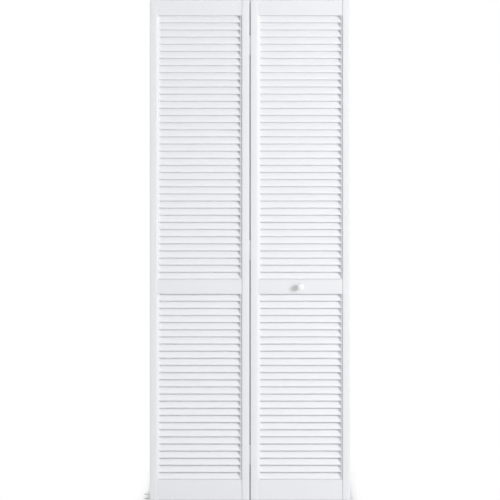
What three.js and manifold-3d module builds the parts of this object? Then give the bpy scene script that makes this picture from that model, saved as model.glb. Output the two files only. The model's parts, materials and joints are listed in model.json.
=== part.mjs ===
// Louvred bifold closet door: a pivot leaf and a lead leaf, hinged together and hung in a head track.
// Lengths are in millimetres, +Z is up and -Y is the room side. The origin is the middle of the
// head track's top face, where the track meets the header. The pivot leaf is on the -X side.

import * as THREE from "three";
import { mergeVertices } from "three/addons/utils/BufferGeometryUtils.js";
import Module from "manifold-3d";

const wasm = await Module();
wasm.setup();

// Clearances shared by many pieces
const fitGap = 0.3; // air between pieces that seat on each other
const overrun = 5; // how far a cutter runs past the face it cuts
const weldTolerance = 0.001; // vertices closer than this are one vertex

// Opening
const openingWidth = 812.8;
const swingClear = 0.62; // leaf corner to jamb bracket as the leaf turns
const leafGap = 4; // between the hinge edges of the two leaves
const headGap = 9; // underside of the track to the top of the leaves

// Leaves
const leafHeight = 1997;
const leafThickness = 28.5;
const stileWidth = 38;
const ledgeWidth = 8; // ledge along the bay edge of a stile, seen from the front
const ledgeStep = 5; // drop from the stile's face to its ledge
const ledgeFall = 0.8; // further drop of the ledge, rounded off towards the bay
const stileEase = 1.5; // eased corners of a stile's faces
const topRailHeight = 61.5;
const midRailHeight = 58;
const bottomRailHeight = 81.5;
const upperBayShare = 0.587; // part of the slatted height that is above the mid rail
const railRecess = 1.5; // rail face behind stile face
const tenonThickness = 10;
const tenonShoulder = 6; // rail edge to tenon edge
const mortiseWall = 1.6; // wood left between a mortise and the pivot hole

// Slats
const slatPitch = 28.5; // nearest pitch aimed for, evened out over each bay
const slatWidth = 36;
const slatThickness = 6.35;
const slatTilt = THREE.MathUtils.degToRad(65); // from horizontal, front edge low
const slatFoot = 0.5; // open slit under the lowest slat
const stripThickness = 2; // strip that joins the slat ends of a bay
const stripInset = 0.4; // strip edge behind the ledges, front and back

// Hinges
const hingeCount = 3;
const hingeEndInset = 180; // leaf end to the middle of the end hinge
const hingeHeight = 76;
const hingePlateGap = 0.6; // between the two plates of a closed hinge
const hingePlateDepth = 27; // pin axis to the front edge of a plate
const knuckleRadius = 4;
const knuckleCount = 3;
const knuckleGap = 0.4; // between knuckles along the pin, and around them
const knuckleSeat = 0.1; // knuckle to the back face of the leaf
const hingePinRadius = 1.75;
const hingePinClear = 0.2;
const hingePinHeadRadius = 2.7;
const hingePinHeadHeight = 1.2;
const hingeScrewRadius = 1.6;
const hingeScrewHeadRadius = 3.2;
const hingeScrewLength = 16;
const hingeScrewShare = 0.32; // screw height from the hinge's middle, of the hinge's height
const countersinkShare = 0.85; // depth of a countersunk head, of the plate it sits in
const panHeadTopShare = 0.7; // flat top of a pan head, of its radius

// Head track
const trackWidth = 32;
const trackHeight = 22;
const trackWall = 1.2;
const trackLip = 6; // outside of the wall to the edge of the inturned lip
const trackEndGap = 1.5;
const trackScrewCount = 4;
const trackScrewInset = 8; // end of the top pivot bracket to the nearest track screw
const trackScrewRadius = 2.1;
const trackScrewHeadRadius = 4;
const trackScrewHeadHeight = 2.6;
const trackScrewLength = 22;

// Top pivot bracket
const topBracketThickness = 3;
const topBracketEnd = 14; // pivot to the bracket's jamb end
const topBracketReach = 32; // pivot to its other end
const topBracketScrewOffset = 21;
const topBracketScrewRadius = 2.5;
const topBracketScrewHeadRadius = 4.5;
const topBracketScrewHeadHeight = 2.4;

// Pivots and guide
const pivotInset = 25; // leaf edge to the pivot axis
const pinRadius = 4;
const pinNose = 3.5; // top pin past the bracket
const pinTaper = 1; // chamfer on a pin's end
const collarStep = 0.6;
const collarHeight = 3;
const stubRadius = 2.4; // tail of the pin inside its spring
const stubLength = 8;
const sleeveRadius = 6.35;
const sleeveLength = 32;
const sleeveLip = 1.5; // inner lip that holds the collar down
const flangeRadius = 9;
const flangeThickness = 1.2;
const springSeat = 2; // hole past the end of the sleeve
const springWireRadius = 0.5;
const springTurns = 9;
const guideTravel = 6.2;
const rollerClear = 1; // roller to each lip of the track
const rollerHeight = 7;
const rollerEase = 0.8;
const guideHeadRadius = 5.5;
const guideHeadHeight = 1.5;

// Jamb bracket and bottom pivot
const bracketPlate = 2;
const bracketWidth = 30;
const bracketHeight = 45;
const bracketCorner = 8;
const bracketFootThickness = 2.5;
const bracketFootReach = 22; // pivot to the end of the foot
const jambScrewShares = [0.42, 0.8]; // of the bracket's height
const jambScrewRadius = 2;
const jambScrewHeadRadius = 3.9;
const jambScrewLength = 19;
const bottomPinThreadRadius = 4.5;
const bottomPinReach = 25; // pin inside the leaf
const bottomCollarRadius = 7.2;
const bottomCollarHeight = 3;
const lockNutRadius = 7.8;
const lockNutHeight = 4;
const lockNutGap = 1.4; // nut to the collar above it

// Knob
const knobRadius = 13;
const knobProjection = 27;
const knobProfileShares = [
  [0.56, 0], [0.5, 0.1], [0.42, 0.26], [0.5, 0.4], [0.84, 0.56],
  [1, 0.7], [0.985, 0.82], [0.88, 0.92], [0.55, 0.98], [0, 1],
]; // radius as a share of knobRadius, height as a share of knobProjection
const knobScrewRadius = 2;
const knobScrewHeadRadius = 4.2;
const knobScrewHeadHeight = 2;
const knobScrewShare = 0.55; // depth of the screw in the knob, of its projection

// Facets of round shapes
const roundFacets = 16;
const smallFacets = 12;
const hexFacets = 6;
const knobFacets = 24;
const knobSteps = 12;
const slatEndSteps = 3;
const ledgeSteps = 4;
const cornerSteps = 3;
const wireFacets = 5;
const stepsPerTurn = 8;

// Sizes that follow from the ones above
const pivotCornerSwing = Math.hypot(pivotInset, leafThickness / 2);
const sideGap = pivotCornerSwing + swingClear + bracketPlate - pivotInset;
const leafWidth = (openingWidth - leafGap) / 2 - sideGap;
const bayWidth = leafWidth - 2 * stileWidth;
const ledgeLevel = leafThickness / 2 - ledgeStep; // from the middle of the leaf's thickness
const leafTop = -trackHeight - headGap;
const leafBottom = leafTop - leafHeight;
const floorGap =
  bracketFootThickness + lockNutHeight + lockNutGap + bottomCollarHeight + flangeThickness + 3 * fitGap;
const floorLevel = leafBottom - floorGap;
const slattedHeight = leafHeight - topRailHeight - midRailHeight - bottomRailHeight;
const upperBayHeight = slattedHeight * upperBayShare;
const lowerBayHeight = slattedHeight - upperBayHeight;
const pivotX = -(leafGap / 2 + leafWidth - pivotInset);
const hingeAxisY = leafThickness / 2 + knuckleSeat + knuckleRadius;
const hingePlateThickness = (leafGap - hingePlateGap) / 2 - fitGap;
const hingeNotch = knuckleRadius + knuckleGap;
const hingeScrewY = -(hingeNotch + hingePlateDepth) / 2;
const hingeScrewHeadHeight = hingePlateThickness * countersinkShare;
const jambScrewHeadHeight = bracketPlate * countersinkShare;
const sleeveHoleRadius = sleeveRadius + fitGap;
const sleeveHoleDepth = sleeveLength + springSeat;
const tenonLength = stileWidth - pivotInset - sleeveHoleRadius - mortiseWall;
const collarRadius = pinRadius + collarStep;
const sleeveBoreRadius = collarRadius + fitGap;
const flangeTop = fitGap + flangeThickness; // above the end of the leaf
const collarBottom = -fitGap - collarHeight;
const topBracketBottom = -trackHeight + trackWall + fitGap;
const topBracketTop = topBracketBottom + topBracketThickness;
const trackLength = openingWidth - 2 * trackEndGap;
const trackScrewReach = -pivotX - topBracketReach - trackScrewInset;
const trackScrewPlaces = Array.from({ length: trackScrewCount }, (_, i) => {
  return trackScrewReach * ((2 * i) / (trackScrewCount - 1) - 1);
});
const rollerRadius = trackWidth / 2 - trackLip - rollerClear;
const rollerBottom = flangeTop + guideTravel + fitGap; // above the top of the leaf
const hingeHeights = Array.from({ length: hingeCount }, (_, i) => {
  const span = leafHeight - 2 * hingeEndInset;
  return -hingeEndInset - (span * i) / (hingeCount - 1);
});

// Finishes
const paint = new THREE.MeshStandardMaterial({ color: 0xe9eaee, roughness: 0.42, metalness: 0 });
const knobPaint = new THREE.MeshStandardMaterial({ color: 0xf0f1f3, roughness: 0.3, metalness: 0 });
const zinc = new THREE.MeshStandardMaterial({ color: 0xb4b7ba, roughness: 0.38, metalness: 0.9 });
const whiteSteel = new THREE.MeshStandardMaterial({ color: 0xe4e5e6, roughness: 0.45, metalness: 0.1 });
const nylon = new THREE.MeshStandardMaterial({ color: 0xdfe0dc, roughness: 0.5, metalness: 0 });
for (const material of [paint, knobPaint, zinc, whiteSteel, nylon]) {
  material.flatShading = true;
}

const axisX = new THREE.Vector3(1, 0, 0);
const axisY = new THREE.Vector3(0, 1, 0);
const axisZ = new THREE.Vector3(0, 0, 1);

// Turns a closed geometry into a solid that can be joined and cut.
function solidOf(geometry) {
  const bare = geometry.clone();
  bare.deleteAttribute("normal");
  bare.deleteAttribute("uv");
  const welded = mergeVertices(bare, weldTolerance);
  const vertProperties = new Float32Array(welded.attributes.position.array);
  const triVerts = new Uint32Array(welded.index.array);
  return new wasm.Manifold(new wasm.Mesh({ numProp: 3, vertProperties, triVerts }));
}

// A named mesh of a finished solid.
function pieceOf(name, solid, material) {
  const { vertProperties, triVerts } = solid.getMesh();
  const geometry = new THREE.BufferGeometry();
  geometry.setAttribute("position", new THREE.BufferAttribute(vertProperties, 3));
  geometry.setIndex(new THREE.BufferAttribute(triVerts, 1));
  geometry.computeVertexNormals();
  const mesh = new THREE.Mesh(geometry, material);
  mesh.name = name;
  return mesh;
}

// A box between two corners, given in any order.
function block(x0, x1, y0, y1, z0, z1) {
  const geometry = new THREE.BoxGeometry(Math.abs(x1 - x0), Math.abs(y1 - y0), Math.abs(z1 - z0));
  geometry.translate((x0 + x1) / 2, (y0 + y1) / 2, (z0 + z1) / 2);
  return solidOf(geometry);
}

// Points along part of an ellipse.
function arc(centreX, centreY, radiusX, radiusY, fromAngle, toAngle, steps) {
  return Array.from({ length: steps + 1 }, (_, i) => {
    const angle = fromAngle + ((toAngle - fromAngle) * i) / steps;
    return new THREE.Vector2(centreX + radiusX * Math.cos(angle), centreY + radiusY * Math.sin(angle));
  });
}

// Extrudes an outline along an axis. The outline lies in YZ for x and in XY for z.
function prism(axis, outline, from, to) {
  const geometry = new THREE.ExtrudeGeometry(new THREE.Shape(outline), {
    depth: to - from,
    bevelEnabled: false,
  });
  geometry.translate(0, 0, from);
  if (axis === "x") {
    geometry.applyMatrix4(new THREE.Matrix4().makeBasis(axisY, axisZ, axisX));
  }
  return solidOf(geometry);
}

// Turns a profile of radius and height pairs about an axis through the origin.
function turned(direction, profile, facets = smallFacets) {
  const points = profile.map(([radius, height]) => new THREE.Vector2(radius, height));
  const geometry = new THREE.LatheGeometry(points, facets);
  geometry.applyQuaternion(new THREE.Quaternion().setFromUnitVectors(axisY, direction));
  return solidOf(geometry);
}

// A plain round bar along an axis.
function bar(direction, radius, from, to, facets = smallFacets) {
  return turned(direction, [[0, from], [radius, from], [radius, to], [0, to]], facets);
}

// A hexagonal bar along Z.
function hexBar(radius, from, to) {
  return prism("z", arc(0, 0, radius, radius, 0, 2 * Math.PI, hexFacets).slice(1), from, to);
}

// A countersunk screw that points against the given direction, its head flush with the origin.
// With a swell it is the hole for that screw.
function flatScrew(direction, size, swell = 0) {
  const radius = size.radius + swell;
  const headRadius = size.headRadius + swell;
  const profile = [
    [0, -size.length - swell],
    [radius, 2 * size.radius - size.length],
    [radius, -size.headHeight],
    [headRadius, 0],
  ];
  if (swell > 0) {
    profile.push([headRadius, overrun], [0, overrun]);
  } else {
    profile.push([0, 0]);
  }
  return turned(direction, profile);
}

// A round-headed screw that points against the given direction, its head seated on the origin.
function panScrew(direction, size) {
  return turned(direction, [
    [0, -size.length],
    [size.radius, 2 * size.radius - size.length],
    [size.radius, 0],
    [size.headRadius, 0],
    [size.headRadius, size.headHeight / 2],
    [size.headRadius * panHeadTopShare, size.headHeight],
    [0, size.headHeight],
  ]);
}

const hingeScrewSize = {
  radius: hingeScrewRadius,
  headRadius: hingeScrewHeadRadius,
  headHeight: hingeScrewHeadHeight,
  length: hingeScrewLength,
};
const jambScrewSize = {
  radius: jambScrewRadius,
  headRadius: jambScrewHeadRadius,
  headHeight: jambScrewHeadHeight,
  length: jambScrewLength,
};

// Heights of the screws of one hinge, from the hinge's middle.
const hingeScrewHeights = [hingeScrewShare * hingeHeight, -hingeScrewShare * hingeHeight];

// The three rails of a leaf: height, and depth of the rail's top edge below the top of the leaf.
const railPlaces = {
  top: { height: topRailHeight, drop: 0 },
  mid: { height: midRailHeight, drop: topRailHeight + upperBayHeight },
  bottom: { height: bottomRailHeight, drop: leafHeight - bottomRailHeight },
};

// The rounded ledge at the back of a stile, from the bay face at x = 0 to the step, swollen by a gap.
function ledgeArc(gap) {
  const foot = ledgeLevel - ledgeFall;
  return arc(ledgeWidth, foot, ledgeWidth + gap, ledgeFall + gap, Math.PI, Math.PI / 2, ledgeSteps);
}

// Closes the back half of an outline with its mirror image at the front.
function mirrored(back) {
  return [...back, ...back.map((point) => new THREE.Vector2(point.x, -point.y)).reverse()];
}

// Outline of a stile, bay face at x = 0 and the body towards out.
function stileOutline(out) {
  const eased = leafThickness / 2 - stileEase;
  const outer = stileWidth - stileEase;
  const back = [
    ...ledgeArc(0),
    ...arc(ledgeWidth + stileEase, eased, stileEase, stileEase, Math.PI, Math.PI / 2, cornerSteps),
    ...arc(outer, eased, stileEase, stileEase, Math.PI / 2, 0, cornerSteps),
  ];
  return mirrored(back).map((point) => new THREE.Vector2(out * point.x, point.y));
}

// Mortises of a stile for the tenons of the three rails.
function cutMortises(stile, out) {
  let cut = stile;
  for (const { height, drop } of Object.values(railPlaces)) {
    const halfThickness = tenonThickness / 2 + fitGap;
    const mortise = block(
      -out * overrun, out * (tenonLength + fitGap),
      -halfThickness, halfThickness,
      -drop - tenonShoulder + fitGap, -drop - height + tenonShoulder - fitGap,
    );
    cut = cut.subtract(mortise);
  }
  return cut;
}

// The stile at a leaf's pivot or guide edge. The sleeve holes run in from the leaf's ends.
function outerStile(name, out, holeAtBottom) {
  let stile = cutMortises(prism("z", stileOutline(out), -leafHeight, 0), out);
  const x = out * (stileWidth - pivotInset);
  stile = stile.subtract(bar(axisZ, sleeveHoleRadius, -sleeveHoleDepth, overrun).translate(x, 0, 0));
  if (holeAtBottom) {
    const hole = bar(axisZ, sleeveHoleRadius, -leafHeight - overrun, -leafHeight + sleeveHoleDepth);
    stile = stile.subtract(hole.translate(x, 0, 0));
  }
  const piece = pieceOf(name, stile, paint);
  piece.position.x = (out * bayWidth) / 2;
  return piece;
}

// The stile at a leaf's hinge edge, drilled for the hinge screws.
function hingeStile(name, out) {
  let stile = cutMortises(prism("z", stileOutline(out), -leafHeight, 0), out);
  const hole = flatScrew(axisX.clone().multiplyScalar(out), hingeScrewSize, fitGap);
  const x = out * (stileWidth + fitGap + hingePlateThickness);
  for (const hingeZ of hingeHeights) {
    for (const screwZ of hingeScrewHeights) {
      stile = stile.subtract(hole.translate(x, hingeAxisY + hingeScrewY, hingeZ + screwZ));
    }
  }
  const piece = pieceOf(name, stile, paint);
  piece.position.x = (out * bayWidth) / 2;
  return piece;
}

// A rail, its ends coped over the stiles' ledges and with a stub tenon. Its top edge is at the
// origin's height.
function railSolid(height) {
  const halfLength = bayWidth / 2 + ledgeWidth - fitGap;
  const halfThickness = leafThickness / 2 - railRecess;
  const halfTenon = bayWidth / 2 + tenonLength;
  let body = block(-halfLength, halfLength, -halfThickness, halfThickness, -height, 0);
  const past = new THREE.Vector2(ledgeWidth + overrun, ledgeLevel + fitGap);
  for (const side of [-1, 1]) {
    const ledges = mirrored([...ledgeArc(fitGap), past]);
    const placed = ledges.map(({ x, y }) => new THREE.Vector2(side * (bayWidth / 2 + x), y));
    body = body.subtract(prism("z", placed, -height - overrun, overrun));
  }
  const tenons = block(
    -halfTenon, halfTenon,
    -tenonThickness / 2, tenonThickness / 2,
    -height + tenonShoulder, -tenonShoulder,
  );
  return body.add(tenons);
}

function rail(name, place, hole = null) {
  let solid = railSolid(place.height);
  if (hole) {
    solid = solid.subtract(hole);
  }
  const piece = pieceOf(name, solid, paint);
  piece.position.z = -place.drop;
  return piece;
}

// Section of a slat, a flat bar with round edges, tilted with its front edge low.
function slatOutline() {
  const reach = (slatWidth - slatThickness) / 2;
  const radius = slatThickness / 2;
  const points = [
    ...arc(reach, 0, radius, radius, -Math.PI / 2, Math.PI / 2, slatEndSteps),
    ...arc(-reach, 0, radius, radius, Math.PI / 2, (3 * Math.PI) / 2, slatEndSteps),
  ];
  return points.map((point) => point.rotateAround(new THREE.Vector2(), slatTilt));
}

// The slats of one bay, evenly pitched, with a thin strip along each side that joins their ends.
function slatBank(name, bayHeight, drop) {
  const count = Math.round((bayHeight - slatFoot) / slatPitch);
  const pitch = (bayHeight - slatFoot) / count;
  const rise = (slatWidth - slatThickness) * Math.sin(slatTilt) + slatThickness;
  const halfWidth = bayWidth / 2 - fitGap;
  const slatEnd = halfWidth - stripThickness / 2;
  const slat = prism("x", slatOutline(), -slatEnd, slatEnd);
  const pieces = Array.from({ length: count }, (_, i) => slat.translate(0, 0, rise / 2 - pitch * (i + 1)));
  const halfStrip = ledgeLevel - ledgeFall - stripInset;
  for (const side of [-1, 1]) {
    const inner = side * (halfWidth - stripThickness);
    pieces.push(block(inner, side * halfWidth, -halfStrip, halfStrip, -bayHeight + fitGap, -fitGap));
  }
  const joined = pieces.reduce((whole, piece) => whole.add(piece));
  const bay = block(
    -halfWidth - overrun, halfWidth + overrun,
    -leafThickness / 2, leafThickness / 2,
    -bayHeight + fitGap, -fitGap,
  );
  const piece = pieceOf(name, joined.intersect(bay), paint);
  piece.position.z = -drop;
  return piece;
}

// The wooden pieces of a leaf. The outer stile is towards out, the hinge stile away from it.
function leafWork(prefix, out, names) {
  const leaf = new THREE.Group();
  const { top, mid, bottom } = railPlaces;
  leaf.add(
    outerStile(`${prefix}_${names.outerStile}`, out, names.holeAtBottom),
    hingeStile(`${prefix}_hinge_stile`, -out),
    rail(`${prefix}_top_rail`, top),
    rail(`${prefix}_mid_rail`, mid, names.midRailHole),
    rail(`${prefix}_bottom_rail`, bottom),
    slatBank(`${prefix}_upper_slats`, upperBayHeight, topRailHeight),
    slatBank(`${prefix}_lower_slats`, lowerBayHeight, mid.drop + mid.height),
  );
  leaf.position.set(out * (leafGap + leafWidth) / 2, 0, leafTop);
  return leaf;
}

// One plate of a hinge with its knuckles, on the pin axis. The plate lies towards side.
function hingePlate(name, side, knuckles) {
  const step = (hingeHeight + knuckleGap) / knuckleCount;
  const length = step - knuckleGap;
  const inner = (side * hingePlateGap) / 2;
  const outer = inner + side * hingePlateThickness;
  let plate = block(inner, outer, -hingePlateDepth, -hingeNotch, -hingeHeight / 2, hingeHeight / 2);
  for (const place of knuckles) {
    const low = place * step - length / 2;
    const web = block(inner, outer, -hingeNotch - knuckleGap, 0, low, low + length);
    plate = plate.add(web).add(bar(axisZ, knuckleRadius, low, low + length, roundFacets));
  }
  const bore = bar(axisZ, hingePinRadius + hingePinClear, -hingeHeight, hingeHeight);
  plate = plate.subtract(bore);
  const hole = flatScrew(axisX.clone().multiplyScalar(-side), hingeScrewSize, fitGap / 2);
  for (const z of hingeScrewHeights) {
    plate = plate.subtract(hole.translate(inner, hingeScrewY, z));
  }
  return pieceOf(name, plate, zinc);
}

// A hinge pin with a head on each end.
function hingePin(name) {
  const seat = hingeHeight / 2 + fitGap;
  const end = seat + hingePinHeadHeight;
  const pin = turned(axisZ, [
    [0, -end],
    [hingePinHeadRadius, -end],
    [hingePinHeadRadius, -seat],
    [hingePinRadius, -seat],
    [hingePinRadius, seat],
    [hingePinHeadRadius, seat],
    [hingePinHeadRadius, end],
    [0, end],
  ]);
  return pieceOf(name, pin, zinc);
}

function hingeScrew(name, side, z) {
  const screw = flatScrew(axisX.clone().multiplyScalar(-side), hingeScrewSize);
  const piece = pieceOf(name, screw, zinc);
  piece.position.set((side * hingePlateGap) / 2, hingeScrewY, z);
  return piece;
}

// A whole hinge, numbered from the top of the door.
function hinge(number) {
  const group = new THREE.Group();
  group.add(hingePlate(`hinge_${number}_pivot_plate`, -1, [-1, 1]));
  group.add(hingePlate(`hinge_${number}_lead_plate`, 1, [0]));
  group.add(hingePin(`hinge_${number}_pin`));
  hingeScrewHeights.forEach((z, i) => {
    group.add(hingeScrew(`hinge_${number}_pivot_screw_${i + 1}`, -1, z));
    group.add(hingeScrew(`hinge_${number}_lead_screw_${i + 1}`, 1, z));
  });
  group.position.set(0, hingeAxisY, leafTop + hingeHeights[number - 1]);
  return group;
}

// Sleeve for a sprung pin, let into the top of a leaf. The origin is on the leaf's top face.
function sleeve(name) {
  const hole = pinRadius + fitGap;
  const solid = turned(axisZ, [
    [hole, flangeTop],
    [hole, flangeTop - sleeveLip],
    [sleeveBoreRadius, flangeTop - sleeveLip],
    [sleeveBoreRadius, -sleeveLength],
    [sleeveRadius, -sleeveLength],
    [sleeveRadius, fitGap],
    [flangeRadius, fitGap],
    [flangeRadius, flangeTop],
    [hole, flangeTop],
  ], roundFacets);
  return pieceOf(name, solid, nylon);
}

// Path of a wound wire.
class Helix extends THREE.Curve {
  constructor(radius, bottom, top, turns) {
    super();
    Object.assign(this, { radius, bottom, top, turns });
  }

  getPoint(share, target = new THREE.Vector3()) {
    const angle = share * this.turns * 2 * Math.PI;
    const height = this.bottom + share * (this.top - this.bottom);
    return target.set(this.radius * Math.cos(angle), this.radius * Math.sin(angle), height);
  }
}

// A compression spring between the bottom of the sleeve hole and the collar of the pin.
function spring(name) {
  const radius = (stubRadius + sleeveBoreRadius) / 2;
  const bottom = -sleeveHoleDepth + fitGap + springWireRadius;
  const top = collarBottom - fitGap - springWireRadius;
  const section = new THREE.Shape(
    arc(0, 0, springWireRadius, springWireRadius, 0, 2 * Math.PI, wireFacets).slice(1),
  );
  const geometry = new THREE.ExtrudeGeometry(section, {
    steps: springTurns * stepsPerTurn,
    extrudePath: new Helix(radius, bottom, top, springTurns),
    bevelEnabled: false,
  });
  return pieceOf(name, solidOf(geometry), zinc);
}

// Profile of the lower half of a sprung pin: collar under the sleeve's lip and tail inside the spring.
const sprungTail = [
  [0, collarBottom - stubLength],
  [stubRadius, collarBottom - stubLength],
  [stubRadius, collarBottom],
  [collarRadius, collarBottom],
  [collarRadius, -fitGap],
  [pinRadius, -fitGap],
];

function topPivotPin() {
  const tip = topBracketTop + pinNose - leafTop;
  const pin = turned(axisZ, [
    ...sprungTail,
    [pinRadius, tip - pinTaper],
    [pinRadius - pinTaper, tip],
    [0, tip],
  ], roundFacets);
  return pieceOf("top_pivot_pin", pin, zinc);
}

function guidePin() {
  const seat = rollerBottom + rollerHeight + fitGap;
  const neck = rollerBottom - fitGap;
  const spindle = pinRadius - pinTaper;
  const pin = turned(axisZ, [
    ...sprungTail,
    [pinRadius, neck],
    [spindle, neck],
    [spindle, seat],
    [guideHeadRadius, seat],
    [guideHeadRadius, seat + guideHeadHeight],
    [0, seat + guideHeadHeight],
  ], roundFacets);
  return pieceOf("guide_pin", pin, zinc);
}

function guideRoller() {
  const bore = pinRadius - pinTaper + fitGap;
  const top = rollerBottom + rollerHeight;
  const roller = turned(axisZ, [
    [bore, rollerBottom],
    [rollerRadius - rollerEase, rollerBottom],
    [rollerRadius, rollerBottom + rollerEase],
    [rollerRadius, top - rollerEase],
    [rollerRadius - rollerEase, top],
    [bore, top],
    [bore, rollerBottom],
  ], roundFacets);
  return pieceOf("guide_roller", roller, nylon);
}

// Sleeve for the bottom pivot, let into the bottom of the pivot leaf. The origin is on that face.
function bottomPivotSleeve() {
  const hole = pinRadius + fitGap;
  const solid = turned(axisZ, [
    [hole, -flangeTop],
    [flangeRadius, -flangeTop],
    [flangeRadius, -fitGap],
    [sleeveRadius, -fitGap],
    [sleeveRadius, sleeveLength],
    [hole, sleeveLength],
    [hole, -flangeTop],
  ], roundFacets);
  return pieceOf("bottom_pivot_sleeve", solid, nylon);
}

// Bottom pivot pin, from the floor. Its collar carries the leaf.
function bottomPivotPin() {
  const collarTop = floorGap - flangeTop - fitGap;
  const tip = floorGap + bottomPinReach;
  const thread = bar(axisZ, bottomPinThreadRadius, fitGap, collarTop, roundFacets);
  const collar = hexBar(bottomCollarRadius, collarTop - bottomCollarHeight, collarTop);
  const pin = turned(axisZ, [
    [0, fitGap],
    [pinRadius, fitGap],
    [pinRadius, tip - pinTaper],
    [pinRadius - pinTaper, tip],
    [0, tip],
  ], roundFacets);
  return pieceOf("bottom_pivot_pin", thread.add(collar).add(pin), zinc);
}

function pivotLockNut() {
  const bottom = bracketFootThickness + fitGap;
  const top = bottom + lockNutHeight;
  const bore = bar(axisZ, bottomPinThreadRadius + fitGap, -overrun, top + overrun, roundFacets);
  return pieceOf("pivot_lock_nut", hexBar(lockNutRadius, bottom, top).subtract(bore), zinc);
}

// Angle bracket at the foot of the jamb. The origin is on the floor, under the pivot axis.
function jambBracket() {
  const jamb = -(pivotInset + sideGap);
  const half = bracketWidth / 2;
  const upright = prism("x", [
    new THREE.Vector2(-half, 0),
    new THREE.Vector2(half, 0),
    ...arc(half - bracketCorner, bracketHeight - bracketCorner, bracketCorner, bracketCorner,
      0, Math.PI / 2, cornerSteps),
    ...arc(bracketCorner - half, bracketHeight - bracketCorner, bracketCorner, bracketCorner,
      Math.PI / 2, Math.PI, cornerSteps),
  ], jamb, jamb + bracketPlate);
  const foot = prism("z", [
    new THREE.Vector2(jamb, -half),
    ...arc(bracketFootReach - half, 0, half, half, -Math.PI / 2, Math.PI / 2, roundFacets / 2),
    new THREE.Vector2(jamb, half),
  ], 0, bracketFootThickness);
  let bracket = upright.add(foot);
  bracket = bracket.subtract(bar(axisZ, bottomPinThreadRadius + fitGap, -overrun, overrun, roundFacets));
  const hole = flatScrew(axisX, jambScrewSize, fitGap / 2);
  for (const share of jambScrewShares) {
    bracket = bracket.subtract(hole.translate(jamb + bracketPlate, 0, share * bracketHeight));
  }
  return pieceOf("jamb_bracket", bracket, zinc);
}

function jambScrew(number) {
  const piece = pieceOf(`jamb_screw_${number}`, flatScrew(axisX, jambScrewSize), zinc);
  const height = jambScrewShares[number - 1] * bracketHeight;
  piece.position.set(bracketPlate - pivotInset - sideGap, 0, height);
  return piece;
}

// Steel channel, open below between two inturned lips.
function headTrack() {
  const outer = trackWidth / 2;
  const inner = outer - trackWall;
  const lip = outer - trackLip;
  const halfSection = [
    [outer, 0], [outer, -trackHeight], [lip, -trackHeight], [lip, -trackHeight + trackWall],
    [inner, -trackHeight + trackWall], [inner, -trackWall],
  ];
  const section = [
    ...halfSection.map(([y, z]) => new THREE.Vector2(y, z)),
    ...halfSection.map(([y, z]) => new THREE.Vector2(-y, z)).reverse(),
  ];
  let track = prism("x", section, -trackLength / 2, trackLength / 2);
  const hole = bar(axisZ, trackScrewRadius + fitGap, -trackWall - overrun, overrun);
  for (const x of trackScrewPlaces) {
    track = track.subtract(hole.translate(x, 0, 0));
  }
  return pieceOf("head_track", track, whiteSteel);
}

function trackScrew(number) {
  const screw = panScrew(axisZ.clone().negate(), {
    radius: trackScrewRadius,
    headRadius: trackScrewHeadRadius,
    headHeight: trackScrewHeadHeight,
    length: trackScrewLength,
  });
  const piece = pieceOf(`track_screw_${number}`, screw, zinc);
  piece.position.set(trackScrewPlaces[number - 1], 0, -trackWall - fitGap);
  return piece;
}

// Plate that rides on the track's lips and holds the top pivot. The origin is on the pivot axis.
function topPivotBracket() {
  const half = trackWidth / 2 - trackWall - fitGap;
  let plate = block(-topBracketEnd, topBracketReach, -half, half, topBracketBottom, topBracketTop);
  plate = plate.subtract(bar(axisZ, pinRadius + fitGap, -trackHeight, 0, roundFacets));
  const hole = bar(axisZ, topBracketScrewRadius + fitGap, -trackHeight, 0);
  plate = plate.subtract(hole.translate(topBracketScrewOffset, 0, 0));
  return pieceOf("top_pivot_bracket", plate, zinc);
}

// Screw that clamps the bracket: its head is below the plate and its end bears on the track.
function topBracketScrew() {
  const seat = topBracketBottom - fitGap;
  const screw = turned(axisZ, [
    [0, seat - topBracketScrewHeadHeight],
    [topBracketScrewHeadRadius, seat - topBracketScrewHeadHeight],
    [topBracketScrewHeadRadius, seat],
    [topBracketScrewRadius, seat],
    [topBracketScrewRadius, -trackWall - fitGap],
    [0, -trackWall - fitGap],
  ]);
  const piece = pieceOf("top_bracket_screw", screw, zinc);
  piece.position.x = topBracketScrewOffset;
  return piece;
}

// Round knob on the rail's front face. The origin is on that face.
function knob() {
  const outline = new THREE.SplineCurve(
    knobProfileShares.map(([r, h]) => new THREE.Vector2(r * knobRadius, h * knobProjection)),
  );
  const [foot, ...rest] = outline.getPoints(knobSteps).map(({ x, y }) => [x, y]);
  const sides = rest.slice(0, -1).filter(([, y]) => y > fitGap);
  const profile = [[0, fitGap], [foot[0], fitGap], ...sides, [0, knobProjection]];
  const body = turned(axisY.clone().negate(), profile, knobFacets);
  const depth = knobScrewShare * knobProjection;
  const hole = bar(axisY.clone().negate(), knobScrewRadius + fitGap, -overrun, depth + fitGap);
  return pieceOf("knob", body.subtract(hole), knobPaint);
}

// Screw through the rail into the knob. The origin is on the rail's back face.
function knobScrew() {
  const screw = panScrew(axisY, {
    radius: knobScrewRadius,
    headRadius: knobScrewHeadRadius,
    headHeight: knobScrewHeadHeight,
    length: leafThickness - 2 * railRecess + fitGap + knobScrewShare * knobProjection,
  });
  return pieceOf("knob_screw", screw, zinc);
}

// A group of pieces at one place.
function groupAt(x, y, z, ...pieces) {
  const group = new THREE.Group();
  group.add(...pieces);
  group.position.set(x, y, z);
  return group;
}

const railFace = leafThickness / 2 - railRecess;
const knobHole = bar(axisY, knobScrewRadius + fitGap, -railFace - overrun, railFace + overrun)
  .translate(0, 0, -midRailHeight / 2);
const knobX = (leafGap + leafWidth) / 2;
const knobZ = leafTop - railPlaces.mid.drop - midRailHeight / 2;

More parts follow.
